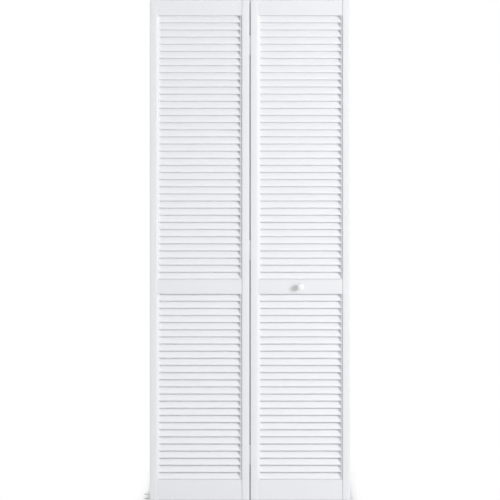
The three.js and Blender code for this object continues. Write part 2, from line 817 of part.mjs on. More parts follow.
const door = new THREE.Group();
door.name = "bifold_closet_door";
door.add(headTrack());
door.add(...trackScrewPlaces.map((_, i) => trackScrew(i + 1)));
door.add(groupAt(pivotX, 0, 0, topPivotBracket(), topBracketScrew()));
door.add(groupAt(pivotX, 0, floorLevel, jambBracket(), bottomPivotPin(), pivotLockNut(),
  ...jambScrewShares.map((_, i) => jambScrew(i + 1))));
door.add(leafWork("pivot", -1, { outerStile: "jamb_stile", holeAtBottom: true, midRailHole: null }));
door.add(leafWork("lead", 1, { outerStile: "guide_stile", holeAtBottom: false, midRailHole: knobHole }));
door.add(...hingeHeights.map((_, i) => hinge(i + 1)));
door.add(groupAt(pivotX, 0, leafTop, sleeve("top_pivot_sleeve"), spring("top_pivot_spring")));
door.add(groupAt(pivotX, 0, leafTop, topPivotPin()));
door.add(groupAt(pivotX, 0, leafBottom, bottomPivotSleeve()));
door.add(groupAt(-pivotX, 0, leafTop, sleeve("guide_sleeve"), spring("guide_spring")));
door.add(groupAt(-pivotX, 0, leafTop, guidePin(), guideRoller()));
door.add(groupAt(knobX, -railFace, knobZ, knob()));
door.add(groupAt(knobX, railFace + fitGap, knobZ, knobScrew()));

export default door;
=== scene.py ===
"""Looks of a louvred bifold closet door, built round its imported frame.

Lengths are in metres, +Z is up and -Y is the room side. Each node of the frame is
replaced by a finished piece of the same size and in the same place.
"""

import json
import logging
import math
import random
from collections.abc import Mapping, Sequence
from dataclasses import dataclass, field
from enum import Enum
from itertools import pairwise
from typing import Any

import bmesh
import bpy
from mathutils import Matrix, Vector


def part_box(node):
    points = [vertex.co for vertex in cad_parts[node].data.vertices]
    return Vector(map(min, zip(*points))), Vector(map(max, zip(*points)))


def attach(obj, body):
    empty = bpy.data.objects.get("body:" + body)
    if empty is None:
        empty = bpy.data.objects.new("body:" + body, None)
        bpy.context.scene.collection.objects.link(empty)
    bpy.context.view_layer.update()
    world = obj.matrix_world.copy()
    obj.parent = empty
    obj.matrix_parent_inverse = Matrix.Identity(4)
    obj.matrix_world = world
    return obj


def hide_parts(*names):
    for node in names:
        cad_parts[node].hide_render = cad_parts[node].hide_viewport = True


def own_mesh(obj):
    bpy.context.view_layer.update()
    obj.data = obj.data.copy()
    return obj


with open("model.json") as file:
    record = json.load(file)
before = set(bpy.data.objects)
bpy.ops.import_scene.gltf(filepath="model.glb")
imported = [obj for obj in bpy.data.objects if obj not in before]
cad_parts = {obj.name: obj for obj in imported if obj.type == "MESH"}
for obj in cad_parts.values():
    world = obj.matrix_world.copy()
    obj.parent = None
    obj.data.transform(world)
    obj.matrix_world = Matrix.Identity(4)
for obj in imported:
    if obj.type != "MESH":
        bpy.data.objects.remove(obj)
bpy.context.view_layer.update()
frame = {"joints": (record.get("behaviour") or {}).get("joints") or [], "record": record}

Pair = tuple[float, float]
Triple = tuple[float, float, float]

CLEARANCE = 0.0003  # air between pieces that seat on each other
FINE_FACETS = 32  # round a part that is seen
SMALL_FACETS = 20  # round a screw or a pin
THREAD_STEPS = 4  # rings to one turn of a thread
SHARP_ANGLE = math.radians(32)
HOLLOW = 1e-9  # radius below which a turned profile has reached its axis
WELD_REACH = 1e-6  # distance below which two vertices are one
EASE_SEGMENTS = 2
WHITE = (1.0, 1.0, 1.0)
MIX_SIDES = (6, 7)  # numbers of a Mix node's two colour inputs
MIX_COLOUR = 2  # number of its colour output

log = logging.getLogger("bifold_door")
body_of_node = {
    node: body
    for body, nodes in frame["record"]["behaviour"]["bodies"].items()
    for node in nodes
}


class Run(Enum):
    """The axis along which an outline is run."""

    X = "x"
    Y = "y"
    Z = "z"

    def point(self, u: float, v: float, along: float) -> Vector:
        """Turns a point of the outline and a distance along the run into a place.

        Args:
            u: First coordinate of the outline, y for X and x for Y and Z.
            v: Second coordinate of the outline, z for X and Y and y for Z.
            along: Distance along the run.

        Returns:
            The place in the frame.
        """
        if self is Run.X:
            return Vector((along, u, v))
        if self is Run.Y:
            return Vector((u, along, v))
        return Vector((u, v, along))


class Head(Enum):
    """Shapes of a screw's head."""

    FLAT = "flat"
    PAN = "pan"


def arc(centre: Pair, radii: Pair, start: float, end: float, steps: int) -> list[Pair]:
    """Draws part of an ellipse.

    Args:
        centre: Middle of the ellipse.
        radii: Its two half widths.
        start: First angle in degrees.
        end: Last angle in degrees.
        steps: Number of straight pieces.

    Returns:
        The points from start to end.
    """
    angles = [math.radians(start + (end - start) * i / steps) for i in range(steps + 1)]
    return [
        (centre[0] + radii[0] * math.cos(a), centre[1] + radii[1] * math.sin(a))
        for a in angles
    ]


def rounded_box(low: Pair, high: Pair, radius: float, steps: int = 4) -> list[Pair]:
    """Draws a rectangle with round corners.

    Args:
        low: Its lowest corner.
        high: Its highest corner.
        radius: Radius of each corner.
        steps: Straight pieces in each corner.

    Returns:
        The closed outline.
    """
    corners = (
        (high[0] - radius, high[1] - radius, 0),
        (low[0] + radius, high[1] - radius, 90),
        (low[0] + radius, low[1] + radius, 180),
        (high[0] - radius, low[1] + radius, 270),
    )
    return [
        point
        for x, y, start in corners
        for point in arc((x, y), (radius, radius), start, start + 90, steps)
    ]


def mirrored(back: Sequence[Pair]) -> list[Pair]:
    """Closes the back half of an outline with its mirror image at the front."""
    return [*back, *((u, -v) for u, v in reversed(back))]


def circle(facets: int) -> tuple[Pair, ...]:
    """Draws a circle of radius 1."""
    return tuple(arc((0, 0), (1, 1), 0, 360, facets)[:-1])


def cross(arm: float) -> tuple[Pair, ...]:
    """Draws a cross of reach 1.

    Args:
        arm: Half width of its arms.

    Returns:
        The closed outline.
    """
    quarter = [(1, -arm), (1, arm), (arm, arm)]
    turns = ((1, 0, 0, 1), (0, -1, 1, 0), (-1, 0, 0, -1), (0, 1, -1, 0))
    return tuple((a * x + b * y, c * x + d * y) for a, b, c, d in turns for x, y in quarter)


def smooth_line(points: Sequence[Pair], steps: int) -> list[Pair]:
    """Draws a smooth line through points.

    Args:
        points: Points that the line passes through.
        steps: Straight pieces between two of them.

    Returns:
        The points of the line.
    """
    ends = [points[0], *points, points[-1]]
    line = []
    for a, b, c, d in zip(ends, ends[1:], ends[2:], ends[3:]):
        for i in range(steps):
            t = i / steps
            weights = (
                -t / 2 + t**2 - t**3 / 2,
                1 - 5 * t**2 / 2 + 3 * t**3 / 2,
                t / 2 + 2 * t**2 - 3 * t**3 / 2,
                -(t**2) / 2 + t**3 / 2,
            )
            near = tuple(zip(weights, (a, b, c, d)))
            line.append(tuple(sum(w * p[k] for w, p in near) for k in (0, 1)))
    return [*line, points[-1]]


def opaque(colour: Triple) -> tuple[float, ...]:
    """Gives a colour the full opacity that a colour input wants."""
    return (*colour, 1.0)


def scene_object(name: str, data: bpy.types.ID) -> bpy.types.Object:
    """Makes an object of a mesh, a light or a camera, and puts it in the scene.

    Args:
        name: Its name.
        data: The mesh, light or camera.

    Returns:
        The object.
    """
    made = bpy.data.objects.new(name, data)
    bpy.context.scene.collection.objects.link(made)
    return made


@dataclass(frozen=True)
class Hole:
    """A hole let into the end of a solid. Steps are pairs of a scale and a level."""

    steps: tuple[Pair, ...]
    centre: Pair = (0.0, 0.0)
    shape: tuple[Pair, ...] = circle(SMALL_FACETS)
    through: bool = False

    def outline(self, scale: float) -> list[Pair]:
        """Draws the hole at one scale."""
        return [(self.centre[0] + scale * u, self.centre[1] + scale * v) for u, v in self.shape]


@dataclass(frozen=True)
class Thread:
    """A screw thread cut into a turned profile between two heights."""

    low: float
    high: float
    pitch: float
    depth: float
    start: float = 0.0  # in turns round the axis

    def refine(self, profile: Sequence[Pair]) -> list[Pair]:
        """Adds the rings that the thread needs.

        Args:
            profile: Pairs of radius and height.

        Returns:
            The profile with more points in the threaded stretch.
        """
        fine = [profile[0]]
        for (radius, start), (next_radius, end) in pairwise(profile):
            inside = self.low <= min(start, end) and max(start, end) <= self.high
            if inside and radius == next_radius:
                steps = math.ceil(abs(end - start) / self.pitch * THREAD_STEPS)
                fine += [(radius, start + (end - start) * i / steps) for i in range(1, steps)]
            fine.append((next_radius, end))
        return fine

    def cut(self, height: float, angle: float) -> float:
        """Finds how deep the groove is.

        Args:
            height: Height on the profile.
            angle: Angle round the axis.

        Returns:
            The depth there.
        """
        if not self.low < height < self.high:
            return 0.0
        turn = (height / self.pitch - angle / math.tau + self.start) % 1
        return self.depth * abs(2 * turn - 1)


class Solid:
    """A closed mesh under construction."""

    def __init__(self) -> None:
        """Starts with nothing."""
        self.mesh = bmesh.new()

    def ring(self, points: Sequence[Vector]) -> list[bmesh.types.BMVert]:
        """Adds a loop of vertices."""
        return [self.mesh.verts.new(point) for point in points]

    def wall(self, rings: Sequence[Sequence[Any]]) -> None:
        """Joins each loop to the next. A loop may be one vertex repeated.

        Args:
            rings: The loops in order, all of the same length.
        """
        for first, second in pairwise(rings):
            for i in range(len(first)):
                corners = (first[i - 1], first[i], second[i], second[i - 1])
                self.mesh.faces.new(tuple(dict.fromkeys(corners)))

    def lid(self, *rings: Sequence[Any]) -> None:
        """Closes the area between an outer loop and the loops inside it.

        Args:
            rings: The outer loop, then those of the holes in it.
        """
        if len(rings) == 1:
            self.mesh.faces.new(rings[0])
            return
        sides = [(ring[i - 1], ring[i]) for ring in rings for i in range(len(ring))]
        edges = [self.mesh.edges.get(side) for side in sides]
        bmesh.ops.triangle_fill(self.mesh, use_beauty=True, edges=edges)

    def prism(
        self,
        outline: Sequence[Pair],
        run: Run,
        low: float,
        high: float,
        holes: Sequence[Hole] = (),
    ) -> "Solid":
        """Runs an outline along an axis, with holes let in from its ends.

        Args:
            outline: The closed outline.
            run: The axis that it is run along.
            low: Where the run starts.
            high: Where the run ends.
            holes: Holes whose first level is one end of the run.

        Returns:
            This solid.
        """
        ends = {}
        for level in (low, high):
            ends[level] = [self.ring([run.point(u, v, level) for u, v in outline])]
        self.wall([ends[low][0], ends[high][0]])
        for hole in holes:
            rings = [
                self.ring([run.point(u, v, level) for u, v in hole.outline(scale)])
                for scale, level in hole.steps
            ]
            self.wall(rings)
            ends[hole.steps[0][1]].append(rings[0])
            if hole.through:
                ends[hole.steps[-1][1]].append(rings[-1])
            else:
                self.lid(rings[-1])
        for rings in ends.values():
            self.lid(*rings)
        return self

    def turned(
        self,
        profile: Sequence[Pair],
        place: Matrix,
        facets: int = FINE_FACETS,
        thread: Thread | None = None,
        socket: Hole | None = None,
    ) -> "Solid":
        """Turns a profile about the Z axis of a place.

        Args:
            profile: Pairs of radius and height, a ring if it ends where it starts.
            place: Where the axis and its origin are.
            facets: Faces round the axis.
            thread: A thread cut into the profile.
            socket: A driver's recess in the last flat end.

        Returns:
            This solid.
        """
        points = thread.refine(profile) if thread else list(profile)
        closed = points[0] == points[-1]
        if closed:
            points.pop()
        rings = []
        for radius, height in points:
            if radius < HOLLOW:
                tip = self.mesh.verts.new(place @ Vector((0, 0, height)))
                rings.append([tip] * facets)
                continue
            ring = []
            for i in range(facets):
                angle = math.tau * i / facets
                reach = radius - (thread.cut(height, angle) if thread else 0)
                ring.append((reach * math.cos(angle), reach * math.sin(angle), height))
            rings.append(self.ring([place @ Vector(spot) for spot in ring]))
        self.wall(rings)
        if closed:
            self.wall([rings[-1], rings[0]])
            return self
        if points[0][0] >= HOLLOW:
            self.lid(rings[0])
        if socket:
            steps = [
                self.ring([place @ Vector((u, v, level)) for u, v in socket.outline(scale)])
                for scale, level in socket.steps
            ]
            self.wall(steps)
            self.lid(steps[-1])
            self.lid(rings[-1], steps[0])
        elif points[-1][0] >= HOLLOW:
            self.lid(rings[-1])
        return self

    def tube(self, path: Sequence[Vector], radius: float, sides: int) -> "Solid":
        """Runs a round wire along a path.

        Args:
            path: Points of the wire's middle line.
            radius: Radius of the wire.
            sides: Faces round the wire.

        Returns:
            This solid.
        """
        rings = []
        across = (path[1] - path[0]).orthogonal().normalized()
        for i, middle in enumerate(path):
            ahead = path[min(i + 1, len(path) - 1)] - path[max(i - 1, 0)]
            ahead.normalize()
            across = (across - across.dot(ahead) * ahead).normalized()
            beside = ahead.cross(across)
            spokes = [u * across + v * beside for u, v in circle(sides)]
            rings.append(self.ring([middle + radius * spoke for spoke in spokes]))
        self.wall(rings)
        self.lid(rings[0])
        self.lid(rings[-1])
        return self

    def weld(self) -> "Solid":
        """Joins parts that meet face to face and takes out the faces between them.

        Returns:
            This solid.
        """
        bmesh.ops.remove_doubles(self.mesh, verts=self.mesh.verts, dist=WELD_REACH)
        shared = {edge for edge in self.mesh.edges if len(edge.link_faces) > 2}
        between = [face for face in self.mesh.faces if shared.issuperset(face.edges)]
        bmesh.ops.delete(self.mesh, geom=between, context="FACES_ONLY")
        return self

    def piece(self, node: str, finish: "Finish", ease: float = 0.0) -> bpy.types.Object:
        """Makes the solid the finished piece of a node.

        Args:
            node: The node that the piece stands for.
            finish: Its finish.
            ease: Width of the rounding on its sharp edges.

        Returns:
            The piece, riding on the node's body.
        """
        name = f"{node}_finished"
        bmesh.ops.recalc_face_normals(self.mesh, faces=self.mesh.faces)
        data = bpy.data.meshes.new(name)
        self.mesh.to_mesh(data)
        self.mesh.free()
        data.shade_smooth()
        data.set_sharp_from_angle(angle=SHARP_ANGLE)
        data.materials.append(finish.material())
        piece = scene_object(name, data)
        if ease:
            rounding = piece.modifiers.new("eased_edges", "BEVEL")
            rounding.width = ease
            rounding.segments = EASE_SEGMENTS
            rounding.limit_method = "ANGLE"
            rounding.angle_limit = SHARP_ANGLE
        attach(piece, body_of_node[node])
        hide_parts(node)
        log.info("%s: %d faces", name, len(data.polygons))
        return piece


class Wire:
    """A node's output, used in sums as if it were a number."""

    def __init__(self, shader: "Shader", socket: bpy.types.NodeSocket) -> None:
        """Keeps the output and the tree that it is in."""
        self.shader = shader
        self.socket = socket

    def _math(self, operation: str, first: Any, second: Any) -> "Wire":
        """Adds a Math node on two numbers or outputs."""
        sides = {0: first, 1: second}
        return self.shader.add("ShaderNodeMath", {"operation": operation}, sides)

    def __add__(self, other: Any) -> "Wire":
        """Adds."""
        return self._math("ADD", self, other)

    __radd__ = __add__

    def __sub__(self, other: Any) -> "Wire":
        """Takes other away."""
        return self._math("SUBTRACT", self, other)

    def __rsub__(self, other: Any) -> "Wire":
        """Is taken away from other."""
        return self._math("SUBTRACT", other, self)

    def __mul__(self, other: Any) -> "Wire":
        """Multiplies."""
        return self._math("MULTIPLY", self, other)

    __rmul__ = __mul__

    def swing(self) -> "Wire":
        """A noise of 0 to 1, moved to swing round 0."""
        return self - 0.5

    def at_least(self, least: float) -> "Wire":
        """The greater of this and least."""
        return self._math("MAXIMUM", self, least)

    def above(self, low: float, high: float) -> "Wire":
        """Rises smoothly from 0 at low to 1 at high."""
        ends = {"Value": self, "From Min": low, "From Max": high}
        return self.shader.add("ShaderNodeMapRange", {"interpolation_type": "SMOOTHSTEP"}, ends)


class Shader:
    """A node tree of a material or of the world."""

    def __init__(self, owner: bpy.types.Material | bpy.types.World) -> None:
        """Empties the tree.

        Args:
            owner: The material or the world that has it.
        """
        owner.use_nodes = True
        self.tree = owner.node_tree
        self.tree.nodes.clear()
        self.output = f"ShaderNodeOutput{type(owner).__name__}"

    def add(
        self,
        kind: str,
        settings: Mapping[str, Any] | None = None,
        sockets: Mapping[str | int, Any] | None = None,
        output: str | int = 0,
    ) -> Wire:
        """Adds a node.

        Args:
            kind: The node's type.
            settings: Its own properties, which are set first.
            sockets: Values or outputs for its inputs.
            output: The output that is wanted.

        Returns:
            That output.
        """
        node = self.tree.nodes.new(kind)
        for name, value in (settings or {}).items():
            setattr(node, name, value)
        for name, value in (sockets or {}).items():
            if isinstance(value, Wire):
                self.tree.links.new(value.socket, node.inputs[name])
            else:
                node.inputs[name].default_value = value
        return Wire(self, node.outputs[output])

    def finish(self, surface: Wire) -> None:
        """Links a surface to the tree's output node."""
        node = self.tree.nodes.new(self.output)
        self.tree.links.new(surface.socket, node.inputs["Surface"])

    def place(self, scale: Triple) -> Wire:
        """The place on the piece in the frame, scaled to repeats to the metre."""
        spot = self.add("ShaderNodeTexCoord", output="Object")
        return self.add("ShaderNodeMapping", sockets={"Vector": spot, "Scale": scale})

    def noise(self, scale: Triple, detail: float = 2.0) -> Wire:
        """Soft noise from 0 to 1, with its repeats to the metre along each axis."""
        sockets = {"Vector": self.place(scale), "Scale": 1.0, "Detail": detail}
        return self.add("ShaderNodeTexNoise", sockets=sockets)

    def mix(self, share: Wire, first: Any, second: Any) -> Wire:
        """Mixes two colours.

        Args:
            share: Share of the second.
            first: A triple or an output.
            second: The same.

        Returns:
            The mixed colour.
        """
        sockets = {"Factor": share}
        for number, side in zip(MIX_SIDES, (first, second)):
            sockets[number] = side if isinstance(side, Wire) else opaque(side)
        return self.add("ShaderNodeMix", {"data_type": "RGBA"}, sockets, MIX_COLOUR)

    def blend(self, share: Wire, first: Wire, second: Wire) -> Wire:
        """Mixes two surfaces."""
        return self.add("ShaderNodeMixShader", sockets={0: share, 1: first, 2: second})

    def bump(self, height: Wire, depth: float) -> Wire:
        """A normal from a height of 0 to 1 that stands for a depth."""
        sockets = {"Height": height, "Distance": depth, "Strength": 1.0}
        return self.add("ShaderNodeBump", sockets=sockets)


@dataclass(frozen=True)
class Finish:
    """What the finishes share: a name, a slot of the record, colour and roughness."""

    name: str
    slot: str
    colour: Triple
    roughness: float

    def material(self) -> bpy.types.Material:
        """Makes the material, or returns the one made before.

        Returns:
            The material of this finish.
        """
        made = bpy.data.materials.get(self.name)
        if made is None:
            made = bpy.data.materials.new(self.name)
            shader = Shader(made)
            sockets = self.sockets(shader)
            shader.finish(shader.add("ShaderNodeBsdfPrincipled", sockets=sockets))
        return made

    def sockets(self, shader: Shader) -> dict[str, Any]:
        """Works out the values for the surface shader, each finish in its own way."""
        raise NotImplementedError

    def toned(self, share: float) -> Triple:
        """The colour, darker by a share."""
        return tuple(channel * (1 - share) for channel in self.colour)


@dataclass(frozen=True)
class Paint(Finish):
    """White paint on wood, with faint strokes along the piece."""

    strokes: Triple = (420.0, 420.0, 7.0)  # to the metre
    stroke_tone: float = 0.012
    stroke_depth: float = 0.00006
    stroke_sheen: float = 0.1
    clouds: float = 5.0
    cloud_tone: float = 0.018
    pores: float = 1400.0
    pore_share: float = 0.35  # depth of the pores, of that of the strokes
    island_tone: float = 0.0  # from one slat to the next
    island_share: float = 0.5  # the most of that tone that a slat takes

    def sockets(self, shader: Shader) -> dict[str, Any]:
        """Works out the values for the surface shader.

        Args:
            shader: The material's node tree.

        Returns:
            Values or outputs by the name of their input.
        """
        stroke = shader.noise(self.strokes, detail=3.0)
        cloud = shader.noise((self.clouds,) * 3)
        pore = shader.noise((self.pores,) * 3, detail=1.0)
        colour = shader.mix(stroke, self.colour, self.toned(self.stroke_tone))
        colour = shader.mix(cloud, colour, self.toned(self.cloud_tone))
        if self.island_tone:
            island = shader.add("ShaderNodeNewGeometry", output="Random Per Island")
            share = island * self.island_share
            colour = shader.mix(share, colour, self.toned(self.island_tone))
        return {
            "Base Color": colour,
            "Roughness": self.roughness + self.stroke_sheen * stroke.swing(),
            "Normal": shader.bump(stroke + self.pore_share * pore, self.stroke_depth),
        }


@dataclass(frozen=True)
class Zinc(Finish):
    """Bright zinc plate on steel, with rolled streaks and cloudy patches."""

    streaks: Triple = (900.0, 900.0, 120.0)
    streak_tone: float = 0.12
    streak_depth: float = 0.00003
    streak_sheen: float = 0.1
    clouds: float = 160.0
    cloud_range: Pair = (0.35, 0.75)
    cloud_tint: Triple = (0.66, 0.645, 0.6)
    cloud_sheen: float = 0.16
    metallic: float = 0.95

    def sockets(self, shader: Shader) -> dict[str, Any]:
        """Works out the values for the surface shader.

        Args:
            shader: The material's node tree.

        Returns:
            Values or outputs by the name of their input.
        """
        streak = shader.noise(self.streaks, detail=3.0)
        cloud = shader.noise((self.clouds,) * 3, detail=4.0)
        patch = cloud.above(*self.cloud_range)
        colour = shader.mix(patch, self.colour, self.cloud_tint)
        rough = self.roughness + self.cloud_sheen * cloud.swing()
        return {
            "Base Color": shader.mix(streak, colour, self.toned(self.streak_tone)),
            "Metallic": self.metallic,
            "Roughness": rough + self.streak_sheen * streak.swing(),
            "Normal": shader.bump(streak, self.streak_depth),
        }


@dataclass(frozen=True)
class Enamel(Finish):
    """Baked white enamel on steel, with a faint orange peel."""

    peel: float = 700.0
    peel_depth: float = 0.00005
    peel_sheen: float = 0.06
    clouds: float = 9.0
    cloud_tone: float = 0.03
    coat: float = 0.25

    def sockets(self, shader: Shader) -> dict[str, Any]:
        """Works out the values for the surface shader.

        Args:
            shader: The material's node tree.

        Returns:
            Values or outputs by the name of their input.
        """
        peel = shader.noise((self.peel,) * 3, detail=1.0)
        cloud = shader.noise((self.clouds,) * 3)
        return {
            "Base Color": shader.mix(cloud, self.colour, self.toned(self.cloud_tone)),
            "Roughness": self.roughness + self.peel_sheen * peel.swing(),
            "Coat Weight": self.coat,
            "Normal": shader.bump(peel, self.peel_depth),
        }


@dataclass(frozen=True)
class Nylon(Finish):
    """Moulded nylon, a little uneven in tone."""

    clouds: float = 220.0
    cloud_tone: float = 0.07
    cloud_sheen: float = 0.12
    grain: float = 2600.0
    grain_depth: float = 0.00002

    def sockets(self, shader: Shader) -> dict[str, Any]:
        """Works out the values for the surface shader.

        Args:
            shader: The material's node tree.

        Returns:
            Values or outputs by the name of their input.
        """
        cloud = shader.noise((self.clouds,) * 3, detail=3.0)
        grain = shader.noise((self.grain,) * 3, detail=1.0)
        return {
            "Base Color": shader.mix(cloud, self.colour, self.toned(self.cloud_tone)),
            "Roughness": self.roughness + self.cloud_sheen * cloud.swing(),
            "Normal": shader.bump(grain, self.grain_depth),
        }


PAINT_WHITE = (0.795, 0.802, 0.822)
# The slats carry the same white paint as the stiles; their lighter white is painted light,
# standing in for extra light on the slats' faces that the lamps do not give.
SLAT_WHITE_WITH_PAINTED_LIGHT = (0.853, 0.86, 0.886)
KNOB_WHITE = (0.835, 0.841, 0.857)
UPRIGHT_PAINT = Paint("paint_on_stiles", "white_paint", PAINT_WHITE, 0.42)
LEVEL_PAINT = Paint("paint_on_rails", "white_paint", PAINT_WHITE, 0.42, (7.0, 420.0, 420.0))
SLAT_PAINT_WITH_PAINTED_LIGHT = Paint(
    "paint_on_slats", "white_paint", SLAT_WHITE_WITH_PAINTED_LIGHT, 0.42, (5.0, 380.0, 380.0), island_tone=0.03
)
KNOB_PAINT = Paint(
    "paint_on_knob", "knob_paint", KNOB_WHITE, 0.4, (60.0, 300.0, 60.0), stroke_depth=0.00002
)
ZINC = Zinc("bright_zinc", "zinc_steel", (0.62, 0.63, 0.64), 0.34)
ENAMEL = Enamel("white_enamel", "white_steel", (0.8, 0.81, 0.815), 0.36)
NYLON = Nylon("natural_nylon", "nylon", (0.78, 0.785, 0.765), 0.5)


def middle_of(node: str) -> Vector:
    """Finds the middle of a node's box."""
    low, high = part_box(node)
    return (low + high) / 2


def axis_of(node: str) -> Matrix:
    """Finds the upright axis through the middle of a node, from level 0."""
    middle = middle_of(node)
    return Matrix.Translation((middle.x, middle.y, 0))


def nose(radius: float, top: float, ease: float, steps: int = 5) -> list[Pair]:
    """Rounds off the upper end of a turned profile.

    Args:
        radius: Radius below the end.
        top: Height of the end.
        ease: Radius of the rounding.
        steps: Straight pieces in the rounding.

    Returns:
        Pairs of radius and height, the last on the axis.
    """
    return [*arc((radius - ease, top - ease), (ease, ease), 0, 90, steps), (0.0, top)]


def pin_hole(pin: str, radius: float, low: float, high: float) -> Hole:
    """Draws the hole of an upright pin, right through a plate.

    Args:
        pin: The node whose middle the hole goes round.
        radius: Radius of the pin.
        low: Height of the plate's underside.
        high: Height of the plate's top.

    Returns:
        The hole, with air round the pin.
    """
    bore = radius + CLEARANCE
    middle = middle_of(pin)
    rim = circle(FINE_FACETS)
    return Hole(((bore, low), (bore, high)), (middle.x, middle.y), rim, through=True)


def sunk_hole(screw: str, shank: float, clear: float, levels: Triple) -> Hole:
    """Draws the countersunk hole of a screw that lies along X, right through a plate.

    Args:
        screw: The screw's node.
        shank: Radius of its shank.
        clear: Air round the screw.
        levels: Places of the plate's face, of the countersink's end and of the back.

    Returns:
        The hole.
    """
    low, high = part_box(screw)
    head = (high.y - low.y) / 2
    radii = (head + clear, shank + clear, shank + clear)
    middle = middle_of(screw)
    return Hole(tuple(zip(radii, levels)), (middle.y, middle.z), through=True)


@dataclass
class Screw:
    """A screw that lies along an axis of the frame."""

    node: str
    points: Triple  # the way that its tip points
    head: Head
    radius: float
    head_height: float
    pitch: float = 0.0016
    thread_share: float = 0.24  # depth of the thread, of the radius
    thread_start: float = 0.0  # in turns round the axis
    run_out: float = 0.5  # plain length under the head, of the pitch
    tip_share: float = 2.0  # length of the tip, of the radius
    tip_flat: float = 0.0  # radius of the tip's flat end, of the radius
    dome_angle: float = 62.0  # degrees, where a pan head's dome ends
    dome_steps: int = 6
    dome_flat: float = 0.8  # radius of the flat there, of the dome's
    socket_share: float = 0.52  # reach of the driver's recess, of the head's radius
    socket_depth: float = 0.7  # of the head's height
    socket_floor: float = 0.55  # reach at its floor, of that at its mouth
    socket_arm: float = 0.26  # half width of its arms, of their reach

    def build(self) -> None:
        """Makes the screw from the size and place of its node."""
        low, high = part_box(self.node)
        axis = Vector(self.points)
        size = high - low
        length = abs(size.dot(axis))
        head_radius = sorted(size)[1] / 2
        seat = length - self.head_height
        start = self.tip_share * self.radius
        end = seat - self.run_out * self.pitch
        profile = [(0.0, 0.0)]
        if self.tip_flat:
            profile.append((self.tip_flat * self.radius, 0.0))
        profile += [(self.radius, height) for height in (start, end, seat)]
        if self.head is Head.FLAT:
            profile.append((head_radius, length))
        else:
            radii = (head_radius, self.head_height)
            profile += arc((0, seat), radii, 0, self.dome_angle, self.dome_steps)
            profile.append((profile[-1][0] * self.dome_flat, length))
        reach = self.socket_share * head_radius
        floor = length - self.socket_depth * self.head_height
        steps = ((reach, length), (reach * self.socket_floor, floor))
        socket = Hole(steps, shape=cross(self.socket_arm))
        depth = self.thread_share * self.radius
        thread = Thread(start, end, self.pitch, depth, self.thread_start)
        tip = (low + high) / 2 + axis * length / 2
        turn = (-axis).to_track_quat("Z", "Y").to_matrix().to_4x4()
        place = Matrix.Translation(tip) @ turn
        solid = Solid().turned(profile, place, SMALL_FACETS, thread, socket)
        solid.piece(self.node, ZINC)


